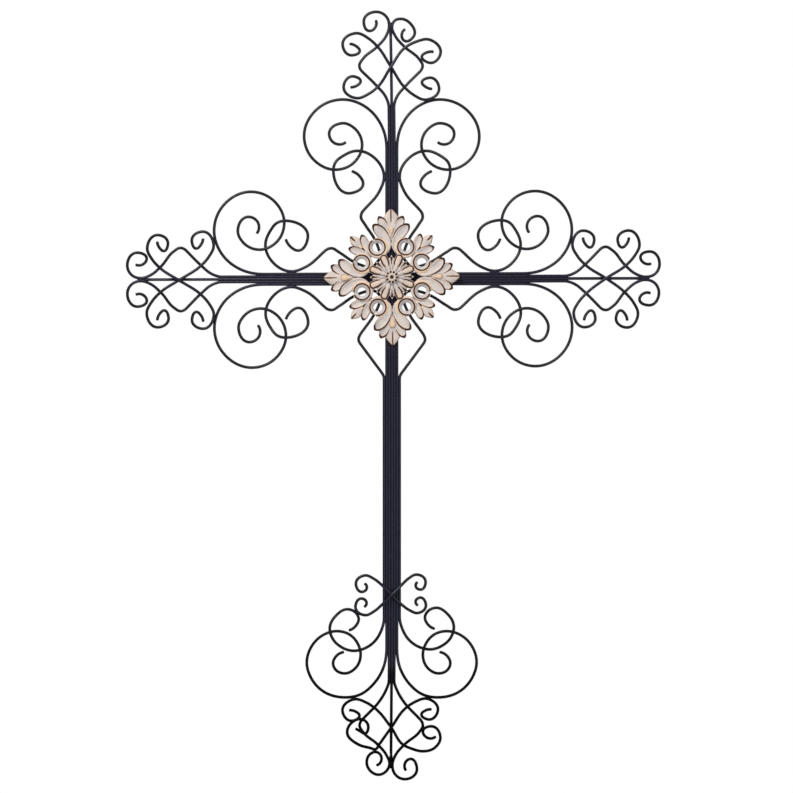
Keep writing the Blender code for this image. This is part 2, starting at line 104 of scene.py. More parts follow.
FOOT_RIGHT_CURL = [
    (575.3, 4.0), (582.3, 16.2), (569.6, 30.2), (559.0, 21.4), (564.9, 16.0), (572.6, 17.6),
]
CROSSED_FORM = [
    (0.0, 0.0), (23.5, 15.3), (32.8, 25.5), (38.9, 39.8), (25.5, 55.4), (13.6, 44.3),
    (19.7, 36.0), (23.4, 39.1), (26.7, 47.6),
]
CROSSED_PIVOT = 1
FOOT_LOWER_RIGHT_FORM = [
    (0.0, 0.0), (20.3, 14.3), (24.7, 24.2), (27.6, 36.5), (23.5, 50.7), (11.8, 57.1),
    (-1.3, 45.5), (4.6, 36.8), (11.1, 40.5), (10.3, 52.0),
]
FOOT_LOWER_LEFT_FORM = [
    (0.0, 0.0), (20.5, 14.3), (24.9, 17.3, 0.4), (23.4, 24.8, 0.8), (19.3, 38.3, 1.0),
    (5.0, 51.0, 1.0), (-6.3, 45.1, 1.0), (-9.9, 36.4, 1.0), (-7.0, 29.2, 1.0), (0.9, 26.6, 1.0),
    (6.7, 29.9, 1.0), (3.8, 36.4, 1.0), (0.9, 41.5, 1.0),
]
BIG_SCROLL_FORM = [
    (148.5, 6.0), (173.6, 10.7), (196.0, 27.8), (206.1, 56.8), (194.3, 87.0), (163.8, 101.6),
    (135.9, 90.3), (124.7, 63.8), (134.6, 42.3), (154.3, 34.4), (172.8, 43.2), (178.6, 56.3),
    (165.2, 72.5), (154.4, 63.8), (156.7, 53.0),
]
BIG_SCROLL_PIVOT = 3
LEFT_SCROLL_SIZES = {"upper": 1.0, "lower": 1.02}
FOOT_SCROLL_FORM = [
    (429.0, 6.0), (454.6, 10.2), (470.8, 19.9), (484.8, 38.0), (487.4, 55.0), (480.9, 78.4),
    (465.2, 93.2), (446.0, 98.5), (429.0, 93.5), (415.0, 79.6), (410.6, 64.3), (414.7, 48.8),
    (425.7, 39.2), (438.5, 36.1), (453.6, 42.1), (459.6, 54.9), (456.0, 64.3), (447.8, 68.0),
    (439.9, 64.7), (434.8, 55.2),
]
SHAFT_CROSSED_FORM = [
    (0.0, 0.0), (10.2, 10.2), (19.0, 20.6), (22.9, 29.4), (13.0, 40.6), (4.6, 33.2),
    (8.5, 28.5), (14.0, 31.1),
]
CORNER_FORM = [
    (123.0, 46.7, 0.0), (116.8, 37.1, 0.0), (110.2, 33.4, 0.0), (97.4, 47.6, -0.5),
    (120.0, 67.6, -1.05), (132.2, 65.8, -1.05), (140.9, 56.2, 0.0), (146.7, 40.0, 1.05),
    (138.6, 20.3, 0.4), (116.3, 9.0, 0.0), (99.8, 14.3, 0.0), (76.6, 33.6, 0.0),
    (69.6, 35.8, 0.0), (61.5, 31.4, 0.0), (44.3, 20.0, 0.0), (31.0, 14.7, 0.0), (23.5, 13.4, 0.0),
]
CORNER_TURN = (17.3, 17.3)
FOOT_CORNER_FORM = [
    (23.5, 13.4, 0.0), (31.0, 14.7, 0.0), (43.6, 20.6, 0.0), (62.5, 33.9, 0.0),
    (67.5, 37.2, 0.0), (72.3, 38.6, 0.0), (77.5, 36.4, 0.0), (109.0, 13.0, 0.0),
    (117.5, 9.0, 0.0), (395.6, 9.0, 0.0), (410.0, 12.3, 0.0),
    (422.6, 20.0, 0.5), (431.5, 33.4, 1.05), (433.6, 44.1, 1.0), (428.4, 59.6, 0.0),
    (419.2, 68.6, -1.05), (406.6, 71.9, -1.05), (392.5, 64.7, 0.0),
    (385.2, 51.5, 0.0), (389.0, 42.1, 0.0), (396.5, 38.4, 0.0), (403.7, 41.2, 0.0),
    (409.7, 50.0, 0.0),
]
SHAFT_LANE_STATIONS = 9

# Weld beads: (along, across, layer, half length, half width) in millimetres, on both sides
FINIAL_WELDS = [(-2.0, 0.0, -0.1, 5.0, 1.9), (6.5, 0.0, -0.1, 5.0, 1.7)]
FINIAL_WELD_AT = 284.5
CORNER_WELD = (116.0, 7.4, 0.0, 6.0, 1.5)
# Half length and half width of the beads of the crossed wires, on each other and on the bar wires:
CROSSING_WELD = (1.9, 1.9)
TOUCHING_WELD = (1.7, 1.7)

# Shades of the enamel. In metres: over which distance beside a bundle, and below the upright's
# one, the wire becomes free wire, and over which drop below the hook, and distance aside, painted
# shade blackens the free wire most, where the light falls off towards the foot and the arm ends.
# The rest are shares.
BUNDLE_EDGE = (0.0105, 0.0125)
BUNDLE_FOOT_END = (0.690, 0.705)
FOOT_SHADE = (0.52, 0.80)
ARM_END_SHADE = (0.20, 0.29)
ARM_END_DEPTH = 0.4
FREE_WIRE_TINT = (1.0, 1.06, 0.62)
# Painted shade: share of the free wire's colour left where the light falls off most
PAINTED_SHADE_SHARE = 0.2

# Gloss of the finishes: weight and roughness of the clear coat on the enamel and on the welds,
# which fades out under the painted shade of the free wire, and specular levels under it and of
# the paint
ENAMEL_GLOSS = (0.56, 0.37)
WELD_GLOSS = (0.32, 0.57)
UNDERCOAT_GLOSS = 0.06
PAINT_GLOSS = 0.22

# Cut ends of the wires: (radii from the tip, share of the full thickness)
END_ROUNDING = [(0.7, 1.0), (0.35, 0.93), (0.12, 0.78), (0.0, 0.55)]

# Seams: enamel that fills the joints between wires lying side by side, in millimetres:
# (arm and reach one way, arm and reach the other way, distance from the axis)
SEAM_THICKNESS = 0.0008
SEAM_SIDES = 6
SEAMS = [
    ("head", 197.0, "foot", 471.5, 1.5), ("head", 148.5, "foot", 429.0, 4.5),
    ("foot", 117.5, "foot", 395.6, 7.5), ("left", 197.0, "right", 197.0, 1.5),
    ("left", 148.5, "right", 148.5, 4.5),
]

# The medallion, in millimetres, in the frame of one spray: x to its side, y out from the centre.
# A stroke is a list of (x, y, half width).
MEDALLION_TURN = math.radians(0.85)
MEDALLION_GAP = 0.4
SPRAY_TIP = 79.6
DIAGONAL_TIP = 67.6
TIP_LOBE = [(2.6, 44.0, 3.4), (4.6, 52.0, 4.6), (8.4, 60.0, 5.6), (11.4, 65.4, 4.9),
            (13.4, 69.0, 2.0)]
SIDE_LOBE = [(9.0, 26.5, 2.0), (4.2, 34.0, 4.0), (5.4, 42.5, 5.2), (10.6, 50.6, 6.6),
             (16.2, 56.6, 5.9), (19.3, 59.4, 2.6)]
DIAGONAL_LOBE = [(4.4, 36.0, 5.0), (4.4, 44.0, 5.0), (6.4, 50.0, 5.2), (8.6, 54.6, 4.4),
                 (10.2, 57.8, 1.9)]
CREASE = [(0.0, 43.5, 0.3), (0.0, 47.4, 0.9)]
BEAD_PLACE = (0.0, 55.4)
BEAD_SIZES = [(3.1, 3.2), (3.4, 3.4), (3.9, 3.7), (4.0, 3.8)]
RING_PLACE = (16.6, 34.8)
RING_RADIUS = 12.2
RING_BAND_DROP = 0.9
RING_BAND_ASIDE = 0.8
RING_LINE = 9.3
RING_HOLE = 5.0
RING_NOTCH = 9.5
WIRE_LEAVES_RING = (66.0, 78.0)
NARROW_PETAL = [(0.0, 8.0, 1.0), (0.0, 16.0, 2.1), (0.0, 20.6, 2.8), (0.0, 24.4, 0.8)]
WIDE_PETAL = [(0.0, 8.0, 1.6), (0.0, 13.0, 3.2), (0.0, 18.0, 4.7), (0.0, 23.4, 4.8)]
PETAL_PAIRS = 8
BOSS_RADIUS = 7.9
BOSS_HEIGHT = 10.4
BOSS_PITS = 10
PIT_CIRCLE = 6.0
PIT_TURN = 24.0
# Smoothing passes that find the hollows for the painted shade
HOLLOW_SHADE_PASSES = 5

# Picture: millimetres of the cross for one pixel of the 793 pixel frame
MM_PER_PIXEL = 1.16
FRAME_PIXELS = 793
CROSSING_PIXEL = (391.0, 67.1)
CAMERA_DISTANCE = 6.0
FLOOR_BELOW_HOOK = 1.35
SURROUND_LIGHT = 0.25

# Lights: name, place, width and height, share of the main light's power, colour
LIGHT_TARGET = (0.0, 0.0, -0.30)
LIGHTS = [
    ("key_light", (-0.75, -1.1, 0.95), (0.8, 0.8), 1.0, (1.0, 1.0, 1.0)),
    ("fill_light", (1.5, -2.2, -0.3), (0.7, 2.6), 0.85, (0.88, 0.93, 1.0)),
    ("back_light", (-0.9, 2.2, 0.8), (1.4, 1.4), 0.3, (1.0, 1.0, 1.0)),
]


# Placing

def arm_place(arm, side, station, layer_shift=0.0):
    """World point of a station on an arm; side is +1 or -1 across the arm."""
    along = station[0] * MM
    across = station[1] * MM * side
    layer = (station[2] if len(station) > 2 else 0.0) + layer_shift
    if arm in ("head", "foot"):
        up = along if arm == "head" else -along
        x = across + HEAD_LEAN * max(0.0, up - HEAD_LEAN_START)
        x += FOOT_LEAN * max(0.0, -up - FOOT_LEAN_START)
        return Vector((x - HOOK_ASIDE, UPRIGHT_DEPTH + layer * LAYER, up - HOOK_ABOVE_CENTRE))
    out = -along
    if arm == "right":
        out = along + RIGHT_ARM_EXTRA * min(1.0, along / RIGHT_ARM_EXTRA_RAMP)
    x = out * math.cos(CROSSBAR_TILT) - across * math.sin(CROSSBAR_TILT)
    z = out * math.sin(CROSSBAR_TILT) + across * math.cos(CROSSBAR_TILT)
    z -= HOOK_ABOVE_CENTRE + CROSSBAR_DROP
    return Vector((x - HOOK_ASIDE, CROSSBAR_DEPTH + layer * LAYER, z))


def on_axis(arm, along):
    """World point on an arm's axis, a distance in metres from the medallion's centre."""
    return arm_place(arm, 1, (along / MM, 0.0))


def sprung(form, pivot, turn_degrees, size=1.0):
    """The form with everything past its pivot station turned about it, as a hand bend is."""
    turn = math.radians(turn_degrees)
    base = form[pivot]
    result = list(form[:pivot + 1])
    for station in form[pivot + 1:]:
        along = (station[0] - base[0]) * size
        across = (station[1] - base[1]) * size
        new_along = base[0] + along * math.cos(turn) - across * math.sin(turn)
        new_across = base[1] + along * math.sin(turn) + across * math.cos(turn)
        result.append((new_along, new_across) + tuple(station[2:]))
    return result


def opened(form, splay, turn, size):
    """The form splayed about the crossing, then turned and sized past the lozenge wire."""
    return sprung(sprung(form, 0, splay), CROSSED_PIVOT, turn, size)


def shifted(form, along_shift):
    return [(s[0] + along_shift / MM,) + tuple(s[1:]) for s in form]


def placed(arm, side, form):
    return [arm_place(arm, side, station) for station in form]


def end_to_end(first, second):
    """One wire whose two ends are formed: first form reversed, then the second."""
    return list(reversed(first)) + second


# Bending

def headings(stations):
    """Direction at each station: that of the arc through it and its neighbours."""
    result = []
    last = len(stations) - 1
    for i, here in enumerate(stations):
        if i == 0 or i == last:
            result.append(None)
            continue
        before = here - stations[i - 1]
        after = stations[i + 1] - here
        if before.length > 3.0 * after.length:
            result.append(before.normalized())
        elif after.length > 3.0 * before.length:
            result.append(after.normalized())
        else:
            arc = before.normalized() * after.length + after.normalized() * before.length
            result.append(arc.normalized())
    for end, inner, run in ((0, 1, stations[1] - stations[0]),
                            (last, last - 1, stations[last] - stations[last - 1])):
        chord = run.normalized()
        inward = result[inner] or chord
        result[end] = (2.0 * chord.dot(inward) * chord - inward).normalized()
    return result


def bend(stations, tolerance):
    """Points along the smooth wire, no further than the tolerance from its curve."""
    directions = headings(stations)
    points = [stations[0]]
    for i in range(len(stations) - 1):
        start, end = stations[i], stations[i + 1]
        chord = end - start
        turn = directions[i].angle(chord) + directions[i + 1].angle(chord)
        handle = chord.length * (2.0 / 3.0) / (1.0 + math.cos(turn / 2.0))
        near = start + directions[i] * handle
        far = end - directions[i + 1] * handle
        radius = chord.length / max(turn, 0.001)
        step = 2.0 * math.acos(max(0.0, 1.0 - tolerance / radius))
        count = max(1, math.ceil(turn / step - 0.15))
        for k in range(1, count + 1):
            t = k / count
            points.append(start * (1 - t) ** 3 + near * 3 * t * (1 - t) ** 2
                          + far * 3 * t * t * (1 - t) + end * t ** 3)
    return points


# The routes of the wires

def bar_routes():
    """The five wires of each bar: one straight, two with diamonds and curls, two with scrolls."""
    foot_spread = shifted(FOOT_FINIAL_START, FOOT_FINIAL_SHIFT)[0][0] * MM
    routes = {
        "upright_centre_wire": [
            on_axis("head", HEAD_CENTRE_WIRE_END), on_axis("head", HEAD_LEAN_START),
            on_axis("foot", FOOT_LEAN_START), on_axis("foot", foot_spread),
            on_axis("foot", FOOT_CENTRE_WIRE_END)],
        "crossbar_centre_wire": [
            on_axis("left", CROSSBAR_CENTRE_WIRE_END), on_axis("right", CROSSBAR_CENTRE_WIRE_END)],
    }
    foot_form = shifted(FOOT_FINIAL_START + FINIAL_FORM[3:], FOOT_FINIAL_SHIFT)
    lane_start = [(HEAD_LEAN_START / MM, FINIAL_FORM[0][1])]
    curl_turned = sprung(FINIAL_FORM, FINIAL_NECK, FINIAL_CURL_TURN)
    head_left = placed("head", -1, lane_start + curl_turned)
    head_right = placed("head", 1, lane_start + FINIAL_FORM[:FINIAL_NECK + 1] + HEAD_RIGHT_CURL)
    lane_end = [(FOOT_LEAN_START / MM, FINIAL_FORM[0][1])]
    foot_left = placed("foot", -1, lane_end + foot_form[:FINIAL_NECK + 1] + FOOT_LEFT_CURL)
    foot_right = placed("foot", 1, lane_end + foot_form[:FINIAL_NECK + 1] + FOOT_RIGHT_CURL)
    routes["upright_lozenge_wire_left"] = end_to_end(head_left, foot_left)
    routes["upright_lozenge_wire_right"] = end_to_end(head_right, foot_right)
    for side, word in ((-1, "left"), (1, "right")):
        routes[f"upright_scroll_wire_{word}"] = end_to_end(
            placed("head", side, BIG_SCROLL_FORM), placed("foot", side, FOOT_SCROLL_FORM))
    for side, word in ((1, "upper"), (-1, "lower")):
        right = curl_turned if side > 0 else FINIAL_FORM
        routes[f"crossbar_lozenge_wire_{word}"] = end_to_end(
            placed("left", side, FINIAL_FORM), placed("right", side, right))
        left = sprung(BIG_SCROLL_FORM, BIG_SCROLL_PIVOT, 0.0, LEFT_SCROLL_SIZES[word])
        routes[f"crossbar_scroll_wire_{word}"] = end_to_end(
            placed("left", side, left), placed("right", side, BIG_SCROLL_FORM))
    return routes


def corner_routes():
    """One wire for each corner of the cross; the lower two run on down the shaft."""
    routes = {}
    for side, word in ((-1, "left"), (1, "right")):
        turn_up = arm_place("head", side, CORNER_TURN, 0.5)
        upper = placed("head", side, CORNER_FORM) + [turn_up]
        upper += list(reversed(placed(word, 1, CORNER_FORM)))
        routes[f"corner_wire_upper_{word}"] = upper
        turn_down = arm_place("foot", side, CORNER_TURN, 0.5)
        lift = FOOT_SCROLL_LIFT_RIGHT if side > 0 else 0.0
        foot = FOOT_CORNER_FORM[:SHAFT_LANE_STATIONS]
        foot = foot + shifted(FOOT_CORNER_FORM[SHAFT_LANE_STATIONS:], -lift)
        routes[f"corner_wire_lower_{word}"] = (
            placed(word, -1, CORNER_FORM) + [turn_down] + placed("foot", side, foot))
    return routes


def crossed_route(arm, crossing, side, in_front, outer, inner, aside):
    """An S-shaped wire through the crossing, made of its outer and inner end forms."""
    halves = []
    for end, form in ((1, outer), (-1, inner)):
        stations = []
        for i, station in enumerate(form):
            layer = -1.0 - (station[2] if len(station) > 2 else 0.0)
            if in_front and i == 0:
                layer = -2.0
            across = end * station[1] + aside / MM
            stations.append((crossing / MM + end * station[0], across, layer))
        halves.append(placed(arm, side, stations))
    return end_to_end(halves[0], halves[1][1:])


def crossed_ends():
    """Name, arm, crossing, side, whether in front, outer form, inner form, sideways shift."""
    form = CROSSED_FORM
    shaft = SHAFT_CROSSED_FORM
    return [
        ("head_crossed_wire_back", "head", HEAD_CROSSING, -1, False,
         opened(form, 0.0, 0.0, 1.01), opened(form, 0.0, 2.0, 1.0), 0.0),
        ("head_crossed_wire_front", "head", HEAD_CROSSING, 1, True,
         opened(form, 3.5, 11.0, 1.03), opened(form, 1.0, 4.0, 0.98), 0.0),
        ("left_arm_crossed_wire_front", "left", ARM_CROSSING, 1, True,
         opened(form, 0.0, 0.0, 0.95), form, LEFT_CROSSED_ASIDE),
        ("left_arm_crossed_wire_back", "left", ARM_CROSSING, -1, False, form, form, 0.0),
        ("right_arm_crossed_wire_front", "right", ARM_CROSSING, 1, True,
         form, opened(form, 4.0, -4.0, 0.99), 0.0),
        ("right_arm_crossed_wire_back", "right", ARM_CROSSING, -1, False,
         opened(form, 4.0, -2.0, 1.0), form, 0.0),
        ("foot_crossed_wire_back", "foot", FOOT_CROSSING, 1, False,
         FOOT_LOWER_RIGHT_FORM, opened(form, 7.0, 1.5, 0.96), 0.0),
        ("foot_crossed_wire_front", "foot", FOOT_CROSSING, -1, True,
         FOOT_LOWER_LEFT_FORM, opened(form, 3.5, 5.0, 0.93), 0.0),
        ("shaft_crossed_wire_back", "foot", SHAFT_CROSSING, 1, False,
         opened(shaft, 0.0, 4.0, 0.96), opened(shaft, 0.0, 2.0, 1.03), 0.0),
        ("shaft_crossed_wire_front", "foot", SHAFT_CROSSING, -1, True,
         opened(shaft, 0.0, 0.0, 1.05), opened(shaft, 0.0, -3.5, 0.96), 0.0),
    ]


def crossed_routes():
    """Two S-shaped wires cross in each arm and on the shaft, one over the other."""
    return {name: crossed_route(*end) for name, *end in crossed_ends()}


# Nodes

def feed(tree, node, inputs):
    """Set a node's inputs, by name or number: plain values are set, outputs are linked."""
    for key, value in inputs.items():
        if isinstance(value, bpy.types.NodeSocket):
            tree.links.new(value, node.inputs[key])
        else:
            node.inputs[key].default_value = value


def add_node(tree, kind, inputs=None, **settings):
    node = tree.nodes.new(kind)
    for name, value in settings.items():
        setattr(node, name, value)
    feed(tree, node, inputs or {})
    return node


def math_node(tree, operation, *values):
    return add_node(tree, "ShaderNodeMath", dict(enumerate(values)), operation=operation).outputs[0]


def range_node(tree, *values):
    """A smooth step: the value, its low and high, and what these become if not 0 and 1."""
    return add_node(tree, "ShaderNodeMapRange", dict(enumerate(values)),
                    interpolation_type="SMOOTHSTEP").outputs[0]


def mix_node(tree, factor, first, second, blend="MIX"):
    node = add_node(tree, "ShaderNodeMix", data_type="RGBA", blend_type=blend)
    feed(tree, node, {0: factor, 6: first, 7: second})
    return node.outputs[2]


def noise_node(tree, vector, scale, detail=4.0, roughness=0.5):
    inputs = {"Vector": vector, "Scale": scale, "Detail": detail, "Roughness": roughness}
    return add_node(tree, "ShaderNodeTexNoise", inputs).outputs["Fac"]


def attribute_node(tree, name):
    return add_node(tree, "ShaderNodeAttribute", attribute_name=name).outputs["Fac"]


def bump_node(tree, height, strength, distance):
    inputs = {"Strength": strength, "Distance": distance, "Height": height}
    return add_node(tree, "ShaderNodeBump", inputs).outputs["Normal"]


# Shader groups

def new_group(name, inputs, outputs):
    """A shader group; inputs are (name, type, default), outputs are (name, type)."""
    tree = bpy.data.node_groups.new(name, "ShaderNodeTree")
    for socket, kind, default in inputs:
        made = tree.interface.new_socket(socket, in_out="INPUT", socket_type=kind)
        if default is not None:
            made.default_value = default
    for socket, kind in outputs:
        tree.interface.new_socket(socket, in_out="OUTPUT", socket_type=kind)
    return tree, tree.nodes.new("NodeGroupInput").outputs, tree.nodes.new("NodeGroupOutput")


def grain_group():
    """Two sizes of uneven grain on object coordinates: a broad drift and a fine tooth."""
    tree, given, result = new_group(
        "surface grain",
        [("Vector", "NodeSocketVector", None), ("Broad Scale", "NodeSocketFloat", 60.0),
         ("Fine Scale", "NodeSocketFloat", 900.0)],
        [("Broad", "NodeSocketFloat"), ("Fine", "NodeSocketFloat")])
    feed(tree, result, {"Broad": noise_node(tree, given["Vector"], given["Broad Scale"], 3.0),
                        "Fine": noise_node(tree, given["Vector"], given["Fine Scale"], 5.0, 0.6)})
    return tree


def fleck_group():
    """Small scattered spots, such as chips in paint: 1 on a spot, 0 elsewhere."""
    tree, given, result = new_group(
        "scattered flecks",
        [("Vector", "NodeSocketVector", None), ("Scale", "NodeSocketFloat", 200.0),
         ("Cover", "NodeSocketFloat", 0.1)],
        [("Mask", "NodeSocketFloat")])
    cells = add_node(tree, "ShaderNodeTexVoronoi", {"Vector": given["Vector"], "Scale": given["Scale"]})
    rare = range_node(tree, noise_node(tree, given["Vector"], 35.0, 2.0), 0.62, 0.72)
    spot = math_node(tree, "LESS_THAN", cells.outputs["Distance"], given["Cover"])
    feed(tree, result, {"Mask": math_node(tree, "MULTIPLY", spot, rare)})
    return tree


def shader_groups():
    return {
        "grain": bpy.data.node_groups.get("surface grain") or grain_group(),
        "flecks": bpy.data.node_groups.get("scattered flecks") or fleck_group(),
    }


def use_group(tree, group, inputs):
    """A group's outputs; its tree is set before its inputs are, because it brings them."""
    return add_node(tree, "ShaderNodeGroup", inputs, node_tree=group).outputs


# Materials

def start_material(name):
    """A new material: itself, its tree, its shader and the object coordinates in it."""
    material = bpy.data.materials.new(name)
    material.use_nodes = True
    tree = material.node_tree
    coordinates = tree.nodes.new("ShaderNodeTexCoord")
    return material, tree, tree.nodes["Principled BSDF"], coordinates.outputs["Object"]


def colour4(colour, factor=1.0):
    return tuple(min(1.0, c * factor) for c in colour[:3]) + (1.0,)


def enamel_shade(tree, where):
    """Two masks: 1 on wire that stands free of the bundles, and 1 where painted shade blackens that
    wire most, as the light falls off: at the foot and, less so, at the ends of the crossbar."""
    axes = add_node(tree, "ShaderNodeSeparateXYZ", {0: where}).outputs
    aside = math_node(tree, "ABSOLUTE", axes["X"])
    height = math_node(tree, "ADD", axes["Z"], HOOK_ABOVE_CENTRE + CROSSBAR_DROP)
    off_bar = range_node(tree, math_node(tree, "ABSOLUTE", height), *BUNDLE_EDGE)
    beside = math_node(tree, "MULTIPLY", range_node(tree, aside, *BUNDLE_EDGE), off_bar)
    drop = math_node(tree, "MULTIPLY", axes["Z"], -1.0)
    free = math_node(tree, "MAXIMUM", beside, range_node(tree, drop, *BUNDLE_FOOT_END))
    at_arm_end = range_node(tree, aside, *ARM_END_SHADE, 0.0, ARM_END_DEPTH)
    at_foot = range_node(tree, drop, *FOOT_SHADE)
    # Painted shade: the free wire darkened where the light falls off, at the foot and the arm ends
    falloff_shade = math_node(tree, "MULTIPLY", free, math_node(tree, "MAXIMUM", at_foot, at_arm_end))
    return free, falloff_shade


def enamel_coat(tree, shader, where, colour, drift, gloss, roughness):
    """Colour and gloss of the enamel: bluer in the bundles, blacker on the free wire, where painted
    shade darkens it and fades its gloss towards the foot and the arm ends.
    """
    free, falloff_shade = enamel_shade(tree, where)
    free_colour = [share * tint for share, tint in zip(colour, FREE_WIRE_TINT)]
    tone = mix_node(tree, free, colour4(colour), colour4(free_colour))
    # Painted shade: the free wire's colour darkened where the light falls off
    tone = mix_node(tree, falloff_shade, tone, colour4(free_colour, PAINTED_SHADE_SHARE))
    uneven = mix_node(tree, drift, (0.73, 0.73, 0.73, 1.0), (1.3, 1.3, 1.3, 1.0))
    feed(tree, shader, {
        "Base Color": mix_node(tree, 1.0, tone, uneven, "MULTIPLY"),
        "Coat Weight": range_node(tree, falloff_shade, 0.0, 1.0, gloss, 0.0),
        "Coat Roughness": roughness,
        "Specular IOR Level": UNDERCOAT_GLOSS,
    })


def enamel_material(colour, groups):
    """Satin blue-black enamel on steel, a little uneven in tone and sheen."""
    material, tree, shader, where = start_material("black_enamel_on_wire")
    broad = use_group(tree, groups["grain"], {"Vector": where, "Broad Scale": 140.0})["Broad"]
    enamel_coat(tree, shader, where, colour, broad, *ENAMEL_GLOSS)
    feed(tree, shader, {"Roughness": range_node(tree, broad, 0.3, 0.7, 0.32, 0.42)})
    return material


def weld_material(colour, groups):
    """The same enamel over a weld: duller and lumpier."""
    material, tree, shader, where = start_material("enamel_over_weld")
    grain = use_group(tree, groups["grain"],
                      {"Vector": where, "Broad Scale": 400.0, "Fine Scale": 1600.0})
    enamel_coat(tree, shader, where, colour, grain["Broad"], *WELD_GLOSS)
    feed(tree, shader, {"Roughness": range_node(tree, grain["Broad"], 0.3, 0.7, 0.50, 0.65),
                        "Normal": bump_node(tree, grain["Fine"], 0.3, 0.0002)})
    return material


def casting_material(settings, groups):
    """Distressed cream paint: peach in the hollows, brown rubbed into the edges and grooves, grey
    painted shade in the sunk places.
    """
    material, tree, shader, where = start_material("distressed_cream_paint")
    grain = use_group(tree, groups["grain"],
                      {"Vector": where, "Broad Scale": 110.0, "Fine Scale": 1100.0})
    broad, fine = grain["Broad"], grain["Fine"]
    cream = mix_node(tree, range_node(tree, broad, 0.35, 0.65), colour4(settings.cream_colour),
                     colour4(settings.grey_cream_colour))
    # Painted shade: grey mixed in where the relief is sunk
    cream = mix_node(tree, attribute_node(tree, "hollow_shade"), cream, colour4(settings.hollow_shade_colour))
    peach = math_node(tree, "MULTIPLY", attribute_node(tree, "peach"),
                      range_node(tree, fine, 0.25, 0.6, 0.75, 1.0))
    painted = mix_node(tree, peach, cream, colour4(settings.peach_colour))
    worn = math_node(tree, "MULTIPLY", attribute_node(tree, "brown"),
                     range_node(tree, broad, 0.25, 0.6, 0.80, 1.1))
    edge = mix_node(tree, range_node(tree, worn, 0.02, 0.40), painted, colour4(settings.tan_colour))
    lined = mix_node(tree, range_node(tree, worn, 0.25, 0.65), edge, colour4(settings.brown_colour))
    specks = use_group(tree, groups["flecks"], {"Vector": where, "Scale": 520.0, "Cover": 0.22})
    feed(tree, shader, {
        "Base Color": mix_node(tree, specks["Mask"], lined, colour4(settings.tan_colour)),
        "Roughness": range_node(tree, fine, 0.3, 0.7, 0.55, 0.72),
        "Normal": bump_node(tree, fine, 0.35, 0.00025),
        "Specular IOR Level": PAINT_GLOSS,
    })
    return material


def floor_material():
    material, tree, shader, where = start_material("pale_floor")
    tone = noise_node(tree, where, 3.0, 2.0)
    pale = mix_node(tree, tone, (0.86, 0.86, 0.86, 1.0), (0.9, 0.9, 0.9, 1.0))
    feed(tree, shader, {"Base Color": pale, "Roughness": 0.9})
    return material


# Geometry node trees

def new_tree(name, inputs):
    tree = bpy.data.node_groups.new(name, "GeometryNodeTree")
    tree.interface.new_socket("Geometry", in_out="INPUT", socket_type="NodeSocketGeometry")
    for socket, kind in inputs:
        tree.interface.new_socket(socket, in_out="INPUT", socket_type=kind)
    tree.interface.new_socket("Geometry", in_out="OUTPUT", socket_type="NodeSocketGeometry")
    return tree, tree.nodes.new("NodeGroupInput").outputs


def finish_tree(tree, geometry, material):
    """Every tree ends in real geometry with its material on it."""
    realize = add_node(tree, "GeometryNodeRealizeInstances", {0: geometry})
    smooth = add_node(tree, "GeometryNodeSetShadeSmooth", {0: realize.outputs[0]})
    paint = add_node(tree, "GeometryNodeSetMaterial",
                     {"Geometry": smooth.outputs[0], "Material": material})
    add_node(tree, "NodeGroupOutput", {0: paint.outputs[0]})
    return tree


def wire_tree():
    """A round wire along the route, as thick at each point as the route says."""
    tree, given = new_tree("bent wire", [("Wire Diameter", "NodeSocketFloat"),
                                         ("Sides", "NodeSocketInt"),
                                         ("Material", "NodeSocketMaterial")])
    section = add_node(tree, "GeometryNodeCurvePrimitiveCircle", {
        "Resolution": given["Sides"],
        "Radius": math_node(tree, "MULTIPLY", given["Wire Diameter"], 0.5),
    })
    sweep = add_node(tree, "GeometryNodeCurveToMesh", {
        "Curve": given["Geometry"], "Profile Curve": section.outputs[0], "Fill Caps": True})
    if "Scale" in sweep.inputs:
        share = add_node(tree, "GeometryNodeInputRadius")
        feed(tree, sweep, {"Scale": share.outputs[0]})
    return finish_tree(tree, sweep.outputs[0], given["Material"])


def bead_tree():
    """A lumpy weld bead on every point, stretched and turned by the point's own values."""
    tree, given = new_tree("weld beads", [("Bead Radius", "NodeSocketFloat"),
                                          ("Lumpiness", "NodeSocketFloat"),
                                          ("Seed", "NodeSocketInt"),
                                          ("Material", "NodeSocketMaterial")])
    ball = add_node(tree, "GeometryNodeMeshIcoSphere",
                    {"Subdivisions": 4, "Radius": given["Bead Radius"]})
    place = add_node(tree, "GeometryNodeInstanceOnPoints",
                     {"Points": given["Geometry"], "Instance": ball.outputs["Mesh"]})
    for name, socket in (("bead_turn", "Rotation"), ("bead_stretch", "Scale")):
        read = add_node(tree, "GeometryNodeInputNamedAttribute", {"Name": name},
                        data_type="FLOAT_VECTOR")
        feed(tree, place, {socket: read.outputs["Attribute"]})
    solid = add_node(tree, "GeometryNodeRealizeInstances", {0: place.outputs[0]})
    noise = add_node(tree, "ShaderNodeTexNoise", noise_dimensions="4D")
    feed(tree, noise, {"Scale": 520.0, "Detail": 1.0, "W": given["Seed"]})
    centred = math_node(tree, "SUBTRACT", noise.outputs["Fac"], 0.5)
    amount = math_node(tree, "MULTIPLY", centred, given["Lumpiness"])
    normal = add_node(tree, "GeometryNodeInputNormal")
    push = add_node(tree, "ShaderNodeVectorMath", operation="SCALE")
    feed(tree, push, {0: normal.outputs[0], "Scale": amount})
    shift = add_node(tree, "GeometryNodeSetPosition",
                     {"Geometry": solid.outputs[0], "Offset": push.outputs[0]})
    return finish_tree(tree, shift.outputs[0], given["Material"])


def add_object(name, data):
    item = bpy.data.objects.new(name, data)
    bpy.context.scene.collection.objects.link(item)
    return item


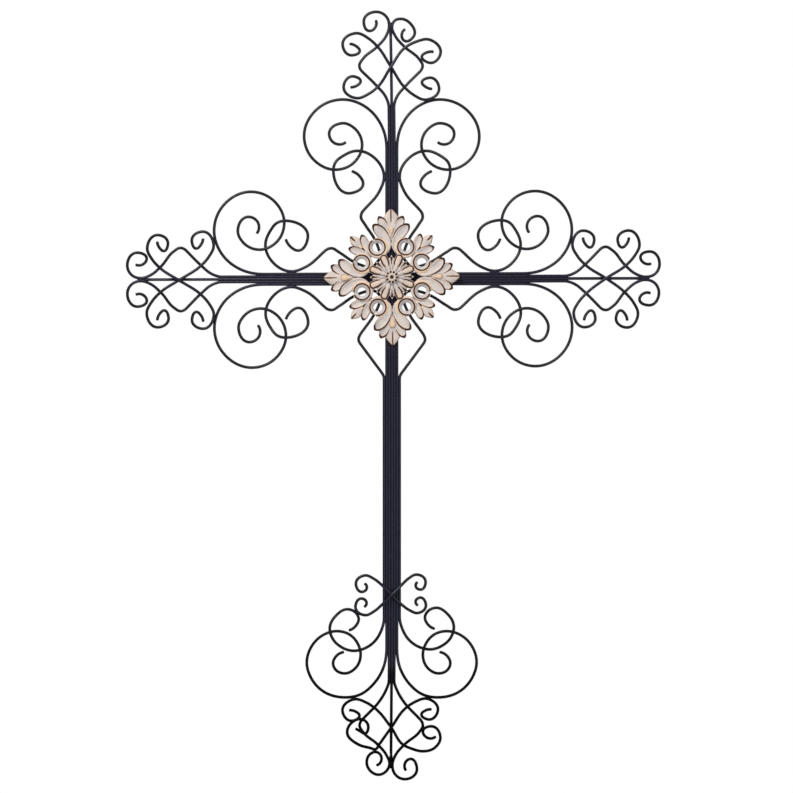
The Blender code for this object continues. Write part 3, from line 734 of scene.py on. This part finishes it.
def baked(name, source, tree, values):
    """The tree's result on the source object, as a plain mesh object."""
    modifier = source.modifiers.new("shape", "NODES")
    modifier.node_group = tree
    for item in tree.interface.items_tree:
        if item.item_type == "SOCKET" and item.in_out == "INPUT" and item.name in values:
            modifier[item.identifier] = values[item.name]
    bpy.context.view_layer.update()
    graph = bpy.context.evaluated_depsgraph_get()
    mesh = bpy.data.meshes.new_from_object(source.evaluated_get(graph))
    bpy.data.objects.remove(source, do_unlink=True)
    if not mesh.vertices:
        raise RuntimeError(f"{name}: the node tree made nothing")
    mesh.name = name
    return add_object(name, mesh)


# Wires

def rounded_end(route, radius):
    """The route with its last points eased down to the cut end of the wire."""
    tip = route.pop()[0]
    while (route[-1][0] - tip).length < radius:
        route.pop()
    inward = (route[-1][0] - tip).normalized()
    for away, size in END_ROUNDING:
        route.append((tip + inward * radius * away, size))
    return route


def poly_curve(name, routes):
    """A curve object; a route is a list of (place, share of the full thickness)."""
    curve = bpy.data.curves.new(name, "CURVE")
    curve.dimensions = "3D"
    for route in routes:
        spline = curve.splines.new("POLY")
        spline.points.add(len(route) - 1)
        for point, (place, size) in zip(spline.points, route):
            point.co = (*place, 1.0)
            point.radius = size
    return add_object(name, curve)


def wire_finish(settings):
    made = bpy.data.materials.get("black_enamel_on_wire")
    return made or enamel_material(settings.enamel_colour, shader_groups())


def make_wires(routes, settings):
    """A round wire for every route; each one stands for the CAD node of its name."""
    tree = bpy.data.node_groups.get("bent wire") or wire_tree()
    values = {"Wire Diameter": settings.wire_diameter, "Sides": settings.sides,
              "Material": wire_finish(settings)}
    radius = settings.wire_diameter / 2.0
    for name, stations in routes.items():
        route = [(point, 1.0) for point in bend(stations, settings.bend_tolerance)]
        route = rounded_end(rounded_end(route, radius)[::-1], radius)
        piece = baked(f"{name}_round", poly_curve(name, [route]), tree, values)
        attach(piece, "root")
        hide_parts(name)


def seam_routes():
    """The joints between neighbouring wires of a bar, on both sides of its axis."""
    routes = []
    for first_arm, first, second_arm, second, across in SEAMS:
        for side in (-1, 1):
            route = [arm_place(first_arm, side, (first, across)),
                     arm_place(second_arm, side, (second, across))]
            if first_arm == "head" and first * MM > HEAD_LEAN_START:
                route.insert(1, arm_place("head", side, (HEAD_LEAN_START / MM, across)))
            if second_arm == "foot" and second * MM > FOOT_LEAN_START:
                route.insert(-1, arm_place("foot", side, (FOOT_LEAN_START / MM, across)))
            routes.append([(place, 1.0) for place in route])
    return routes


def make_seams(settings):
    """One piece of all the enamel in the seams."""
    values = {"Wire Diameter": SEAM_THICKNESS, "Sides": SEAM_SIDES,
              "Material": wire_finish(settings)}
    source = poly_curve("seams", seam_routes())
    piece = baked("enamel_in_seams", source, bpy.data.node_groups["bent wire"], values)
    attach(piece, "root")


# Weld beads

def weld_spots():
    """(place, turn about the depth axis, half length, half width) of every bead."""
    spots = []
    for arm in ("head", "foot", "left", "right"):
        upright = arm in ("head", "foot")
        reach = FOOT_FINIAL_SHIFT / MM if arm == "foot" else 0.0
        for along, across, layer, length, width in FINIAL_WELDS:
            station = (FINIAL_WELD_AT + reach + along, across, layer)
            spots.append((arm_place(arm, 1, station), upright, length, width))
        if arm == "foot":
            continue
        for side in (-1, 1):
            along, across, layer, length, width = CORNER_WELD
            spots.append((arm_place(arm, side, (along, across, layer)), upright, length, width))
    for _, arm, crossing, side, in_front, outer, inner, aside in crossed_ends():
        if crossing == SHAFT_CROSSING:
            continue
        station = (crossing / MM, aside / MM, -1.5 if in_front else -0.5)
        spots.append((arm_place(arm, side, station), True, *CROSSING_WELD))
        for end, form in ((1, outer), (-1, inner)):
            pivot = form[CROSSED_PIVOT]
            station = (crossing / MM + end * pivot[0], end * pivot[1] + aside / MM, -0.5)
            spots.append((arm_place(arm, side, station), True, *TOUCHING_WELD))
    return spots


# The medallion's relief, worked out on a fine grid in its own plane (millimetres)

def smooth_step(low, high, value):
    share = np.clip((value - low) / (high - low), 0.0, 1.0)
    return share * share * (3.0 - 2.0 * share)


def fade(low, high, value):
    return 1.0 - smooth_step(low, high, value)


def along_stroke(x, y, stroke):
    """For every grid point: distance inside the stroke's edge, share across, share along, side."""
    stroke = [np.array(station, float) for station in stroke]
    lengths = [np.linalg.norm(b[:2] - a[:2]) for a, b in zip(stroke, stroke[1:])]
    total = sum(lengths)
    best = np.full(x.shape, -1e9)
    across = np.full(x.shape, 9.0)
    share = np.zeros(x.shape)
    hand = np.zeros(x.shape)
    gone = 0.0
    for a, b, length in zip(stroke, stroke[1:], lengths):
        run = (b - a)[:2] / length
        px, py = x - a[0], y - a[1]
        t = np.clip((px * run[0] + py * run[1]) / length, 0.0, 1.0)
        distance = np.hypot(px - run[0] * t * length, py - run[1] * t * length)
        width = a[2] + (b[2] - a[2]) * t
        inside = width - distance
        nearer = inside > best
        best = np.where(nearer, inside, best)
        across = np.where(nearer, distance / np.maximum(width, 0.05), across)
        share = np.where(nearer, (gone + t * length) / total, share)
        hand = np.where(nearer, np.sign(run[0] * py - run[1] * px), hand)
        gone += length
    return best, across, share, hand


def rounded_stroke(stroke, rounds=2):
    """Corner cutting, so a stroke of few stations runs round."""
    stroke = [np.array(station, float) for station in stroke]
    for _ in range(rounds):
        finer = [stroke[0]]
        for a, b in zip(stroke, stroke[1:]):
            finer += [a * 0.75 + b * 0.25, a * 0.25 + b * 0.75]
        stroke = finer + [stroke[-1]]
    return stroke


class Relief:
    """Height, outline and paint of the casting, gathered form by form."""

    def __init__(self, cell):
        half = SPRAY_TIP + 2.0
        count = int(math.ceil(2.0 * half / cell)) + 1
        axis = np.linspace(-half, half, count)
        self.x, self.y = np.meshgrid(axis, axis)
        self.outline = np.full(self.x.shape, -1e9)
        # Fields: height, brown and peach paint, and painted shade, grey where the relief is sunk
        self.height, self.brown, self.peach, self.hollow_shade = np.zeros((4,) + self.x.shape)

    def turned(self, degrees, mirrored=1.0):
        angle = math.radians(degrees)
        x = self.x * math.cos(angle) - self.y * math.sin(angle)
        y = self.x * math.sin(angle) + self.y * math.cos(angle)
        return x * mirrored, y

    def lay(self, inside, height, brown, peach, hollow_shade=0.0, over=False):
        """Lay a form on what is there: it shows where it is the higher, or everywhere if over."""
        shows = (inside > 0.0) & (over | (height > self.height))
        # Painted shade in the sunk places goes with the form that shows
        self.hollow_shade = np.where(shows, hollow_shade, self.hollow_shade)
        self.height = np.where(shows, height, self.height)
        self.brown = np.where(shows, brown, self.brown)
        self.peach = np.where(shows, peach, self.peach)
        self.outline = np.maximum(self.outline, inside)

    def lobe(self, place, stroke, base, dish, line_from=0.45):
        """A dished lobe: raised rim, brown line round its tip and down the side to the axis."""
        inside, across, share, hand = along_stroke(*place, rounded_stroke(stroke))
        rim = smooth_step(0.25, 0.75, across) * dish
        root = smooth_step(0.0, 0.30, share)
        height = base * (0.62 + 0.38 * root) + rim - 1.3 * fade(0.0, 1.2, inside)
        reach = smooth_step(line_from, line_from + 0.30, share)
        facing = np.maximum(smooth_step(-0.5, 0.5, across * hand), smooth_step(0.86, 0.97, share))
        line_width = 1.05 + 1.0 * smooth_step(0.75, 1.0, share)
        brown = fade(line_width * 0.7, line_width * 1.5, inside) * reach * (0.22 + 0.78 * facing)
        tint = 0.5 * fade(1.2, 4.0, inside) * (0.30 + 0.70 * reach * facing)
        self.lay(inside, height, brown, tint)

    def pointed(self, place, root, tip, half_width, base, ridge, vein, line):
        """A pointed lobe whose sunken midrib darkens from the vein's start to the tip."""
        x, y = place
        swell = np.clip((y - root) / (tip - root), 0.0, 1.0)
        width = half_width * np.clip((1.0 - swell) / 0.30, 0.0, 1.0) ** 0.72
        inside = np.minimum(width - np.abs(x), np.minimum(tip - y, y - root))
        across = np.abs(x) / np.maximum(width, 0.05)
        groove = smooth_step(vein - 2.0, vein + 4.0, y)
        cut = fade(0.3 * line, line, np.abs(x)) * groove
        height = base + ridge * (1.0 - across ** 2) - fade(0.0, 1.0, inside) - 0.8 * cut
        edge_line = fade(0.3, 1.1, inside) * smooth_step(tip - 7.0, tip - 1.0, y)
        brown = np.maximum(cut * (0.45 + 0.5 * smooth_step(vein, tip - 4.0, y)), 0.45 * edge_line)
        tint = 0.4 * fade(0.5, 3.0, inside) + 0.3 * groove * (1.0 - across)
        self.lay(inside, height, brown, tint)

    def bead(self, place, half_width, half_length, tail=2.6, base=4.4, rise=1.8):
        """A raised teardrop between the lobes, its tail towards the centre."""
        x, y = place[0] - BEAD_PLACE[0], place[1] - BEAD_PLACE[1]
        stretch = np.where(y < 0.0, half_length * tail, half_length)
        narrow = half_width * np.where(y < 0.0, np.clip(1.0 + y / stretch, 0.05, 1.0) ** 0.6, 1.0)
        across = np.hypot(x / narrow, y / stretch)
        height = base + rise * np.sqrt(np.clip(1.0 - across ** 2, 0.0, 1.0))
        head = smooth_step(-stretch, -0.2 * stretch, y)
        brown = 0.45 * smooth_step(0.75, 1.0, across) * head
        self.lay((1.0 - across) * half_width, height, brown, 0.25 + 0.65 * head)

    def crease(self, place):
        """A short dark cut where two lobes part, with a peach wash beyond it."""
        cut = smooth_step(-0.5, 0.7, along_stroke(*place, CREASE)[0])
        self.height = self.height - 0.8 * cut
        wash = np.exp(-(np.hypot(place[0], place[1] - CREASE[1][1] - 2.2) / 2.4) ** 2)
        self.peach = np.maximum(self.peach, 0.8 * wash)
        self.brown = np.maximum(self.brown, 1.3 * cut)

    def eye(self, place, wire_degrees):
        """A volute's eye: a peach band, a brown line, then a slope down to the hole.

        Where the corner wire comes out from under it, the band is notched.
        """
        x, y = place[0] - RING_PLACE[0], place[1] - RING_PLACE[1]
        radius = np.hypot(x, y)
        inside = RING_RADIUS - np.hypot(x + RING_BAND_ASIDE, y + RING_BAND_DROP)
        band = 5.5 - 0.9 * fade(0.0, 1.4, inside)
        slope = 2.7 + 2.1 * smooth_step(RING_HOLE, RING_LINE - 0.4, radius)
        height = np.where(radius > RING_LINE, band, slope)
        height = height - 0.5 * np.exp(-((radius - RING_LINE) / 0.5) ** 2)
        angle = math.radians(wire_degrees)
        outward = x * math.cos(angle) + y * math.sin(angle)
        aside = np.abs(x * math.sin(angle) - y * math.cos(angle))
        nub = smooth_step(RING_HOLE, RING_HOLE + 1.0, outward) * fade(1.2, 2.2, aside)
        line = 1.5 * np.exp(-((radius - RING_LINE) / 0.62) ** 2) * (1.0 - nub)
        towards_axis = smooth_step(-4.0, 8.0, -x)
        tint = smooth_step(RING_LINE, RING_LINE + 0.5, radius)
        tint = tint * (0.55 + 0.40 * towards_axis
                       - 0.5 * smooth_step(RING_LINE + 1.0, RING_LINE + 3.5, radius))
        shade = 0.22 * fade(RING_LINE - 2.4, RING_LINE - 0.6, radius)
        self.lay(inside, height - nub, line, tint * (1.0 - nub), shade * (1.0 - nub), over=True)
        notch = np.minimum(np.minimum(outward - RING_NOTCH, 1.9 - aside), 14.0 - radius)
        self.outline = np.minimum(np.minimum(self.outline, radius - RING_HOLE), -notch)

    def daisy(self):
        """Sixteen petals round the boss: wide ones with a domed heart, narrow ones grooved."""
        radius = np.hypot(self.x, self.y)
        turn = np.degrees(np.arctan2(self.x, self.y))
        rise = 6.0 + 1.3 * fade(BOSS_RADIUS, 24.0, radius)
        streaks = 0.5 + 0.5 * np.cos(np.radians(turn * 4.0 * PETAL_PAIRS))
        # The low disc between the petals: faint brown and peach streaks, and painted shade (0.35) in
        # its sunk place
        self.lay(22.0 - radius, rise - 1.3, 0.12 * streaks, 0.25 * streaks, 0.35)
        step = 360.0 / PETAL_PAIRS
        for i in range(PETAL_PAIRS):
            side, along = self.turned(step * i)
            inside = along_stroke(side, along, NARROW_PETAL)[0]
            wide = 0.35 + 0.70 * smooth_step(17.0, 22.5, along)
            ends = smooth_step(12.0, 16.5, along) * fade(22.8, 23.8, along)
            groove = fade(wide * 0.6, wide * 1.5, np.abs(side)) * ends
            height = rise - 0.1 - 0.8 * fade(0.0, 0.8, inside) - 0.7 * groove
            brown = groove * (0.5 + 1.1 * smooth_step(16.0, 20.5, along))
            self.lay(inside, height, brown, 0.3 * smooth_step(14.0, 20.0, along))
        for i in range(PETAL_PAIRS):
            side, along = self.turned(step * (i + 0.5))
            inside = along_stroke(side, along, WIDE_PETAL)[0]
            heart = inside - 1.15
            reach = smooth_step(11.0, 17.0, along)
            groove = np.exp(-(heart / (0.36 + 0.22 * reach)) ** 2) * reach
            height = rise + 0.5 + 0.9 * smooth_step(0.0, 2.4, heart) - 0.6 * groove
            height = height - 0.9 * fade(0.0, 0.8, inside)
            tint = smooth_step(0.0, 0.8, heart) * (0.26 + 0.40 * smooth_step(18.0, 25.0, along))
            self.lay(inside, height, 1.5 * groove, tint)

    def boss(self):
        """The daisy's heart: a low dome with a ring of pits and a dark middle."""
        radius = np.hypot(self.x, self.y)
        inside = BOSS_RADIUS - radius
        dome = np.sqrt(np.clip(1.0 - (radius / (BOSS_RADIUS * 1.5)) ** 2, 0.0, 1.0))
        height = BOSS_HEIGHT - 5.0 * (1.0 - dome) - 0.8 * fade(0.0, 0.9, inside)
        brown = np.zeros_like(radius)
        for i in range(BOSS_PITS):
            angle = math.radians(360.0 / BOSS_PITS * i + PIT_TURN)
            spot = np.hypot(self.x - PIT_CIRCLE * math.sin(angle),
                            self.y - PIT_CIRCLE * math.cos(angle))
            pit = fade(1.0, 1.45, spot)
            height = height - 0.9 * pit
            brown = np.maximum(brown, pit * 1.5)
        middle = fade(1.4, 2.6, radius)
        brown = np.maximum(brown, 1.1 * middle)
        self.lay(inside, height - 0.6 * middle, brown, 0.25)

    def shade_hollows(self, passes):
        """Painted shade: grey laid where the surface lies below its surroundings."""
        ground = np.where(self.outline > 0.0, self.height, 0.0)
        weight = (self.outline > 0.0).astype(float)
        for _ in range(passes):
            for axis in (0, 1):
                ground, weight = [(field + np.roll(field, 1, axis) + np.roll(field, -1, axis)) / 3.0
                                  for field in (ground, weight)]
        hollow = ground / np.maximum(weight, 0.01) - self.height
        self.hollow_shade = np.clip(self.hollow_shade + 0.8 * smooth_step(0.1, 1.2, hollow), 0.0, 1.0)


def casting_relief(cell):
    relief = Relief(cell)
    for quarter in range(4):
        spin = 90.0 * quarter
        relief.pointed(relief.turned(spin), root=46.0, tip=SPRAY_TIP, half_width=8.6,
                       base=3.0, ridge=1.4, vein=62.0, line=0.95)
        relief.pointed(relief.turned(spin + 45.0), root=44.0, tip=DIAGONAL_TIP, half_width=5.6,
                       base=2.9, ridge=1.2, vein=58.0, line=1.25)
        for hand in (-1.0, 1.0):
            straight, slanted = relief.turned(spin, hand), relief.turned(spin + 45.0, hand)
            relief.lobe(straight, TIP_LOBE, base=3.7, dish=1.0)
            relief.lobe(slanted, DIAGONAL_LOBE, base=3.6, dish=1.0, line_from=0.36)
            relief.lobe(straight, SIDE_LOBE, base=4.6, dish=1.1, line_from=0.4)
    for quarter in range(4):
        spin = 90.0 * quarter
        for hand in (-1.0, 1.0):
            relief.eye(relief.turned(spin, hand), WIRE_LEAVES_RING[quarter % 2])
        relief.crease(relief.turned(spin + 45.0))
        relief.bead(relief.turned(spin), *BEAD_SIZES[quarter])
    relief.daisy()
    relief.boss()
    # Painted shade in the hollows of the relief
    relief.shade_hollows(HOLLOW_SHADE_PASSES)
    return relief


def casting_mesh(relief, back):
    """The relief as a closed solid: its outline is cut exactly, its back is flat."""
    f = relief.outline
    edge = 1.0 * (1.0 - smooth_step(0.0, 0.9, f))
    h = np.maximum(relief.height - 0.4 * edge, 1.2)
    values = np.stack([relief.x, relief.y, h, relief.brown, relief.peach, relief.hollow_shade], axis=-1)
    inside = f > 0.0
    front, index = [], {}

    def corner(r, c):
        key = (r, c)
        if key not in index:
            index[key] = len(front)
            front.append(values[r, c])
        return index[key]

    def cut(first, second):
        key = (min(first, second), max(first, second))
        if key not in index:
            a, b = f[first], f[second]
            share = min(0.95, max(0.05, a / (a - b)))
            inner = values[first] if a > 0.0 else values[second]
            mixed = values[first] * (1.0 - share) + values[second] * share
            mixed[2:] = inner[2:]
            index[key] = len(front)
            front.append(mixed)
        return index[key]

    faces = []
    counts = (inside[:-1, :-1].astype(int) + inside[1:, :-1] + inside[:-1, 1:] + inside[1:, 1:])
    for r, c in zip(*np.nonzero(counts)):
        ring = [(r, c), (r, c + 1), (r + 1, c + 1), (r + 1, c)]
        face = []
        for here, there in zip(ring, ring[1:] + ring[:1]):
            if inside[here]:
                face.append(corner(*here))
            if inside[here] != inside[there]:
                face.append(cut(here, there))
        if len(face) > 2:
            faces.append(face)
    count = len(front)
    pairs = {}
    for face in faces:
        for a, b in zip(face, face[1:] + face[:1]):
            pairs[(a, b)] = True
    walls = [(a, a + count, b + count, b) for a, b in pairs if (b, a) not in pairs]
    backs = [[i + count for i in reversed(face)] for face in faces]
    front = np.array(front)
    cos, sin = math.cos(MEDALLION_TURN), math.sin(MEDALLION_TURN)
    across = (front[:, 0] * cos - front[:, 1] * sin) * MM - HOOK_ASIDE
    up = (front[:, 0] * sin + front[:, 1] * cos) * MM - HOOK_ABOVE_CENTRE
    verts = list(zip(across, back - front[:, 2] * MM, up))
    verts += list(zip(across, np.full(count, back), up))
    mesh = bpy.data.meshes.new("floral_medallion_relief")
    mesh.from_pydata(verts, [], faces + backs + walls)
    # Paint masks for the material: brown, peach, and the painted shade of the hollows
    for name, column in (("brown", 3), ("peach", 4), ("hollow_shade", 5)):
        layer = mesh.attributes.new(name, "FLOAT", "POINT")
        paint = np.concatenate([front[:, column], np.zeros(count)])
        layer.data.foreach_set("value", paint.astype(np.float32))
    shape = bmesh.new()
    shape.from_mesh(mesh)
    bmesh.ops.recalc_face_normals(shape, faces=shape.faces)
    shape.to_mesh(mesh)
    shape.free()
    mesh.shade_smooth()
    mesh.set_sharp_from_angle(angle=math.radians(55.0))
    return mesh


# Stage

def area_light(name, place, size, power, colour):
    light = bpy.data.lights.new(name, "AREA")
    light.shape = "RECTANGLE"
    light.size, light.size_y = size
    light.energy = power
    light.color = colour
    item = add_object(name, light)
    item.location = place
    aim = Vector(LIGHT_TARGET) - Vector(place)
    item.rotation_euler = aim.to_track_quat("-Z", "Y").to_euler()


def white_world():
    world = bpy.data.worlds.new("white_surround")
    world.use_nodes = True
    tree = world.node_tree
    seen = add_node(tree, "ShaderNodeLightPath").outputs["Is Camera Ray"]
    feed(tree, tree.nodes["Background"], {
        "Color": (1.0, 1.0, 1.0, 1.0),
        "Strength": range_node(tree, seen, 0.0, 1.0, SURROUND_LIGHT, 1.0),
    })
    bpy.context.scene.world = world
    bpy.context.scene.view_settings.view_transform = "Standard"


def front_camera():
    """Straight in front, long lens, centred on the picture's own middle."""
    middle = FRAME_PIXELS / 2.0
    x = (middle - CROSSING_PIXEL[0]) * MM_PER_PIXEL * MM
    z = (CROSSING_PIXEL[1] - middle) * MM_PER_PIXEL * MM
    camera = bpy.data.cameras.new("front_view")
    camera.sensor_width = 36.0
    camera.lens = CAMERA_DISTANCE * camera.sensor_width / (FRAME_PIXELS * MM_PER_PIXEL * MM)
    camera.clip_end = 60.0
    item = add_object("front_view", camera)
    item.location = (x, -CAMERA_DISTANCE, z)
    item.rotation_euler = (math.radians(90.0), 0.0, 0.0)
    bpy.context.scene.camera = item


# Settings

class WireSettings(bpy.types.PropertyGroup):
    wire_diameter: FloatProperty(name="Wire diameter", description="Thickness over the enamel",
                                 default=ENAMELLED_DIAMETER, precision=4, unit="LENGTH")
    sides: IntProperty(name="Sides", description="Facets round the wire", default=14, min=8)
    bend_tolerance: FloatProperty(name="Bend tolerance", description="Furthest a facet strays "
                                  "from the bend", default=0.00003, precision=6, unit="LENGTH")
    enamel_colour: FloatVectorProperty(name="Enamel", description="Colour of the enamel",
                                       subtype="COLOR", default=(0.0078, 0.0068, 0.0185))


class WeldSettings(bpy.types.PropertyGroup):
    bead_radius: FloatProperty(name="Bead radius", description="Radius of a bead before stretching",
                               default=0.001, precision=4, unit="LENGTH")
    lumpiness: FloatProperty(name="Lumpiness", description="How far a bead's surface wanders",
                             default=0.0009, precision=4, unit="LENGTH")
    seed: IntProperty(name="Seed", description="Seed of the beads' unevenness", default=7)


class MedallionSettings(bpy.types.PropertyGroup):
    cell: FloatProperty(name="Cell", description="Grid step of the relief, millimetres",
                        default=0.5, min=0.3)
    cream_colour: FloatVectorProperty(name="Cream", description="Main paint", subtype="COLOR",
                                      default=(0.60, 0.53, 0.48))
    grey_cream_colour: FloatVectorProperty(name="Grey cream", description="Paint where it is thin",
                                           subtype="COLOR", default=(0.50, 0.45, 0.43))
    peach_colour: FloatVectorProperty(name="Peach", description="Wash in the hollows",
                                      subtype="COLOR", default=(0.74, 0.49, 0.30))
    # Painted shade: the grey laid in the sunk places of the relief
    hollow_shade_colour: FloatVectorProperty(name="Hollow shade", description="Grey in the sunk places",
                                      subtype="COLOR", default=(0.36, 0.33, 0.33))
    tan_colour: FloatVectorProperty(name="Tan", description="Soft edge of the brown lines",
                                    subtype="COLOR", default=(0.25, 0.115, 0.06))
    brown_colour: FloatVectorProperty(name="Brown", description="Lines rubbed into the edges",
                                      subtype="COLOR", default=(0.028, 0.011, 0.007))


class StageSettings(bpy.types.PropertyGroup):
    floor_size: FloatProperty(name="Floor", description="Width of the floor", default=3.4,
                              unit="LENGTH")
    key_power: FloatProperty(name="Key light", description="Power of the main light in watts",
                             default=32.5)


# Operators

class CROSS_OT_bars(bpy.types.Operator):
    """Make the ten wires of the upright and the crossbar"""
    bl_idname = "wall_cross.bars"
    bl_label = "Upright and crossbar wires"

    def execute(self, context):
        make_wires(bar_routes(), context.scene.cross_wires)
        return {"FINISHED"}


class CROSS_OT_corners(bpy.types.Operator):
    """Make the four corner wires with their small scrolls"""
    bl_idname = "wall_cross.corners"
    bl_label = "Corner wires"

    def execute(self, context):
        make_wires(corner_routes(), context.scene.cross_wires)
        return {"FINISHED"}


class CROSS_OT_crossed(bpy.types.Operator):
    """Make the S-shaped wires that cross in each arm and on the shaft"""
    bl_idname = "wall_cross.crossed"
    bl_label = "Crossed S wires"

    def execute(self, context):
        make_wires(crossed_routes(), context.scene.cross_wires)
        return {"FINISHED"}


class CROSS_OT_welds(bpy.types.Operator):
    """Put a weld bead wherever wires are joined"""
    bl_idname = "wall_cross.welds"
    bl_label = "Weld beads"

    def execute(self, context):
        settings = context.scene.cross_welds
        spots = weld_spots()
        mesh = bpy.data.meshes.new("weld_spots")
        mesh.from_pydata([spot[0] for spot in spots], [], [])
        turns = mesh.attributes.new("bead_turn", "FLOAT_VECTOR", "POINT")
        stretches = mesh.attributes.new("bead_stretch", "FLOAT_VECTOR", "POINT")
        draw = random.Random(settings.seed)
        for i, (_, upright, length, width) in enumerate(spots):
            lean = 0.0 if upright else math.pi / 2.0
            turns.data[i].vector = (0.0, lean + draw.uniform(-0.12, 0.12), 0.0)
            stretches.data[i].vector = (width * draw.uniform(0.9, 1.1), width * draw.uniform(0.9, 1.1),
                                        length * draw.uniform(0.85, 1.1))
        source = add_object("weld_spots", mesh)
        material = weld_material(context.scene.cross_wires.enamel_colour, shader_groups())
        values = {"Bead Radius": settings.bead_radius, "Lumpiness": settings.lumpiness,
                  "Seed": settings.seed, "Material": material}
        piece = baked("weld_beads", source, bead_tree(), values)
        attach(piece, "root")
        make_seams(context.scene.cross_wires)
        return {"FINISHED"}


class CROSS_OT_medallion(bpy.types.Operator):
    """Cast the flower medallion with its full relief and paint"""
    bl_idname = "wall_cross.medallion"
    bl_label = "Flower medallion"

    def execute(self, context):
        settings = context.scene.cross_medallion
        back = UPRIGHT_DEPTH - WIRE_DIAMETER / 2.0 - MEDALLION_GAP * MM
        mesh = casting_mesh(casting_relief(settings.cell), back)
        piece = add_object("floral_medallion_relief", mesh)
        mesh.materials.append(casting_material(settings, shader_groups()))
        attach(piece, "root")
        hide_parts("floral_medallion")
        return {"FINISHED"}


class CROSS_OT_stage(bpy.types.Operator):
    """Lay the pale floor, the soft lights, the white surround and the camera"""
    bl_idname = "wall_cross.stage"
    bl_label = "Stage"

    def execute(self, context):
        settings = context.scene.cross_stage
        half = settings.floor_size / 2.0
        mesh = bpy.data.meshes.new("pale_floor")
        low = -FLOOR_BELOW_HOOK
        mesh.from_pydata([(-half, -half, low), (half, -half, low), (half, half, low),
                          (-half, half, low)], [], [(0, 1, 2, 3)])
        mesh.materials.append(floor_material())
        floor = add_object("pale_floor", mesh)
        white_world()
        for name, place, size, share, colour in LIGHTS:
            area_light(name, place, size, settings.key_power * share, colour)
        front_camera()
        return {"FINISHED"}


class CROSS_PT_panel(bpy.types.Panel):
    """The cross's pieces in the sidebar"""
    bl_idname = "CROSS_PT_panel"
    bl_label = "Wall cross"
    bl_space_type = "VIEW_3D"
    bl_region_type = "UI"
    bl_category = "Wall cross"

    def draw(self, context):
        scene = context.scene
        for settings in (scene.cross_wires, scene.cross_welds, scene.cross_medallion,
                         scene.cross_stage):
            box = self.layout.box()
            for name in settings.__annotations__:
                box.prop(settings, name)
        for operator in OPERATORS:
            self.layout.operator(operator.bl_idname)


SETTINGS = {
    "cross_wires": WireSettings,
    "cross_welds": WeldSettings,
    "cross_medallion": MedallionSettings,
    "cross_stage": StageSettings,
}
OPERATORS = (CROSS_OT_bars, CROSS_OT_corners, CROSS_OT_crossed, CROSS_OT_welds,
             CROSS_OT_medallion, CROSS_OT_stage)


def register():
    for name, group in SETTINGS.items():
        bpy.utils.register_class(group)
        setattr(bpy.types.Scene, name, PointerProperty(type=group))
    for item in OPERATORS + (CROSS_PT_panel,):
        bpy.utils.register_class(item)


def unregister():
    for item in reversed(OPERATORS + (CROSS_PT_panel,)):
        bpy.utils.unregister_class(item)
    for name, group in SETTINGS.items():
        delattr(bpy.types.Scene, name)
        bpy.utils.unregister_class(group)


def main():
    register()
    bpy.ops.wall_cross.bars()
    bpy.ops.wall_cross.corners()
    bpy.ops.wall_cross.crossed()
    bpy.ops.wall_cross.welds()
    bpy.ops.wall_cross.medallion()
    bpy.ops.wall_cross.stage()


if __name__ == "__main__":
    main()
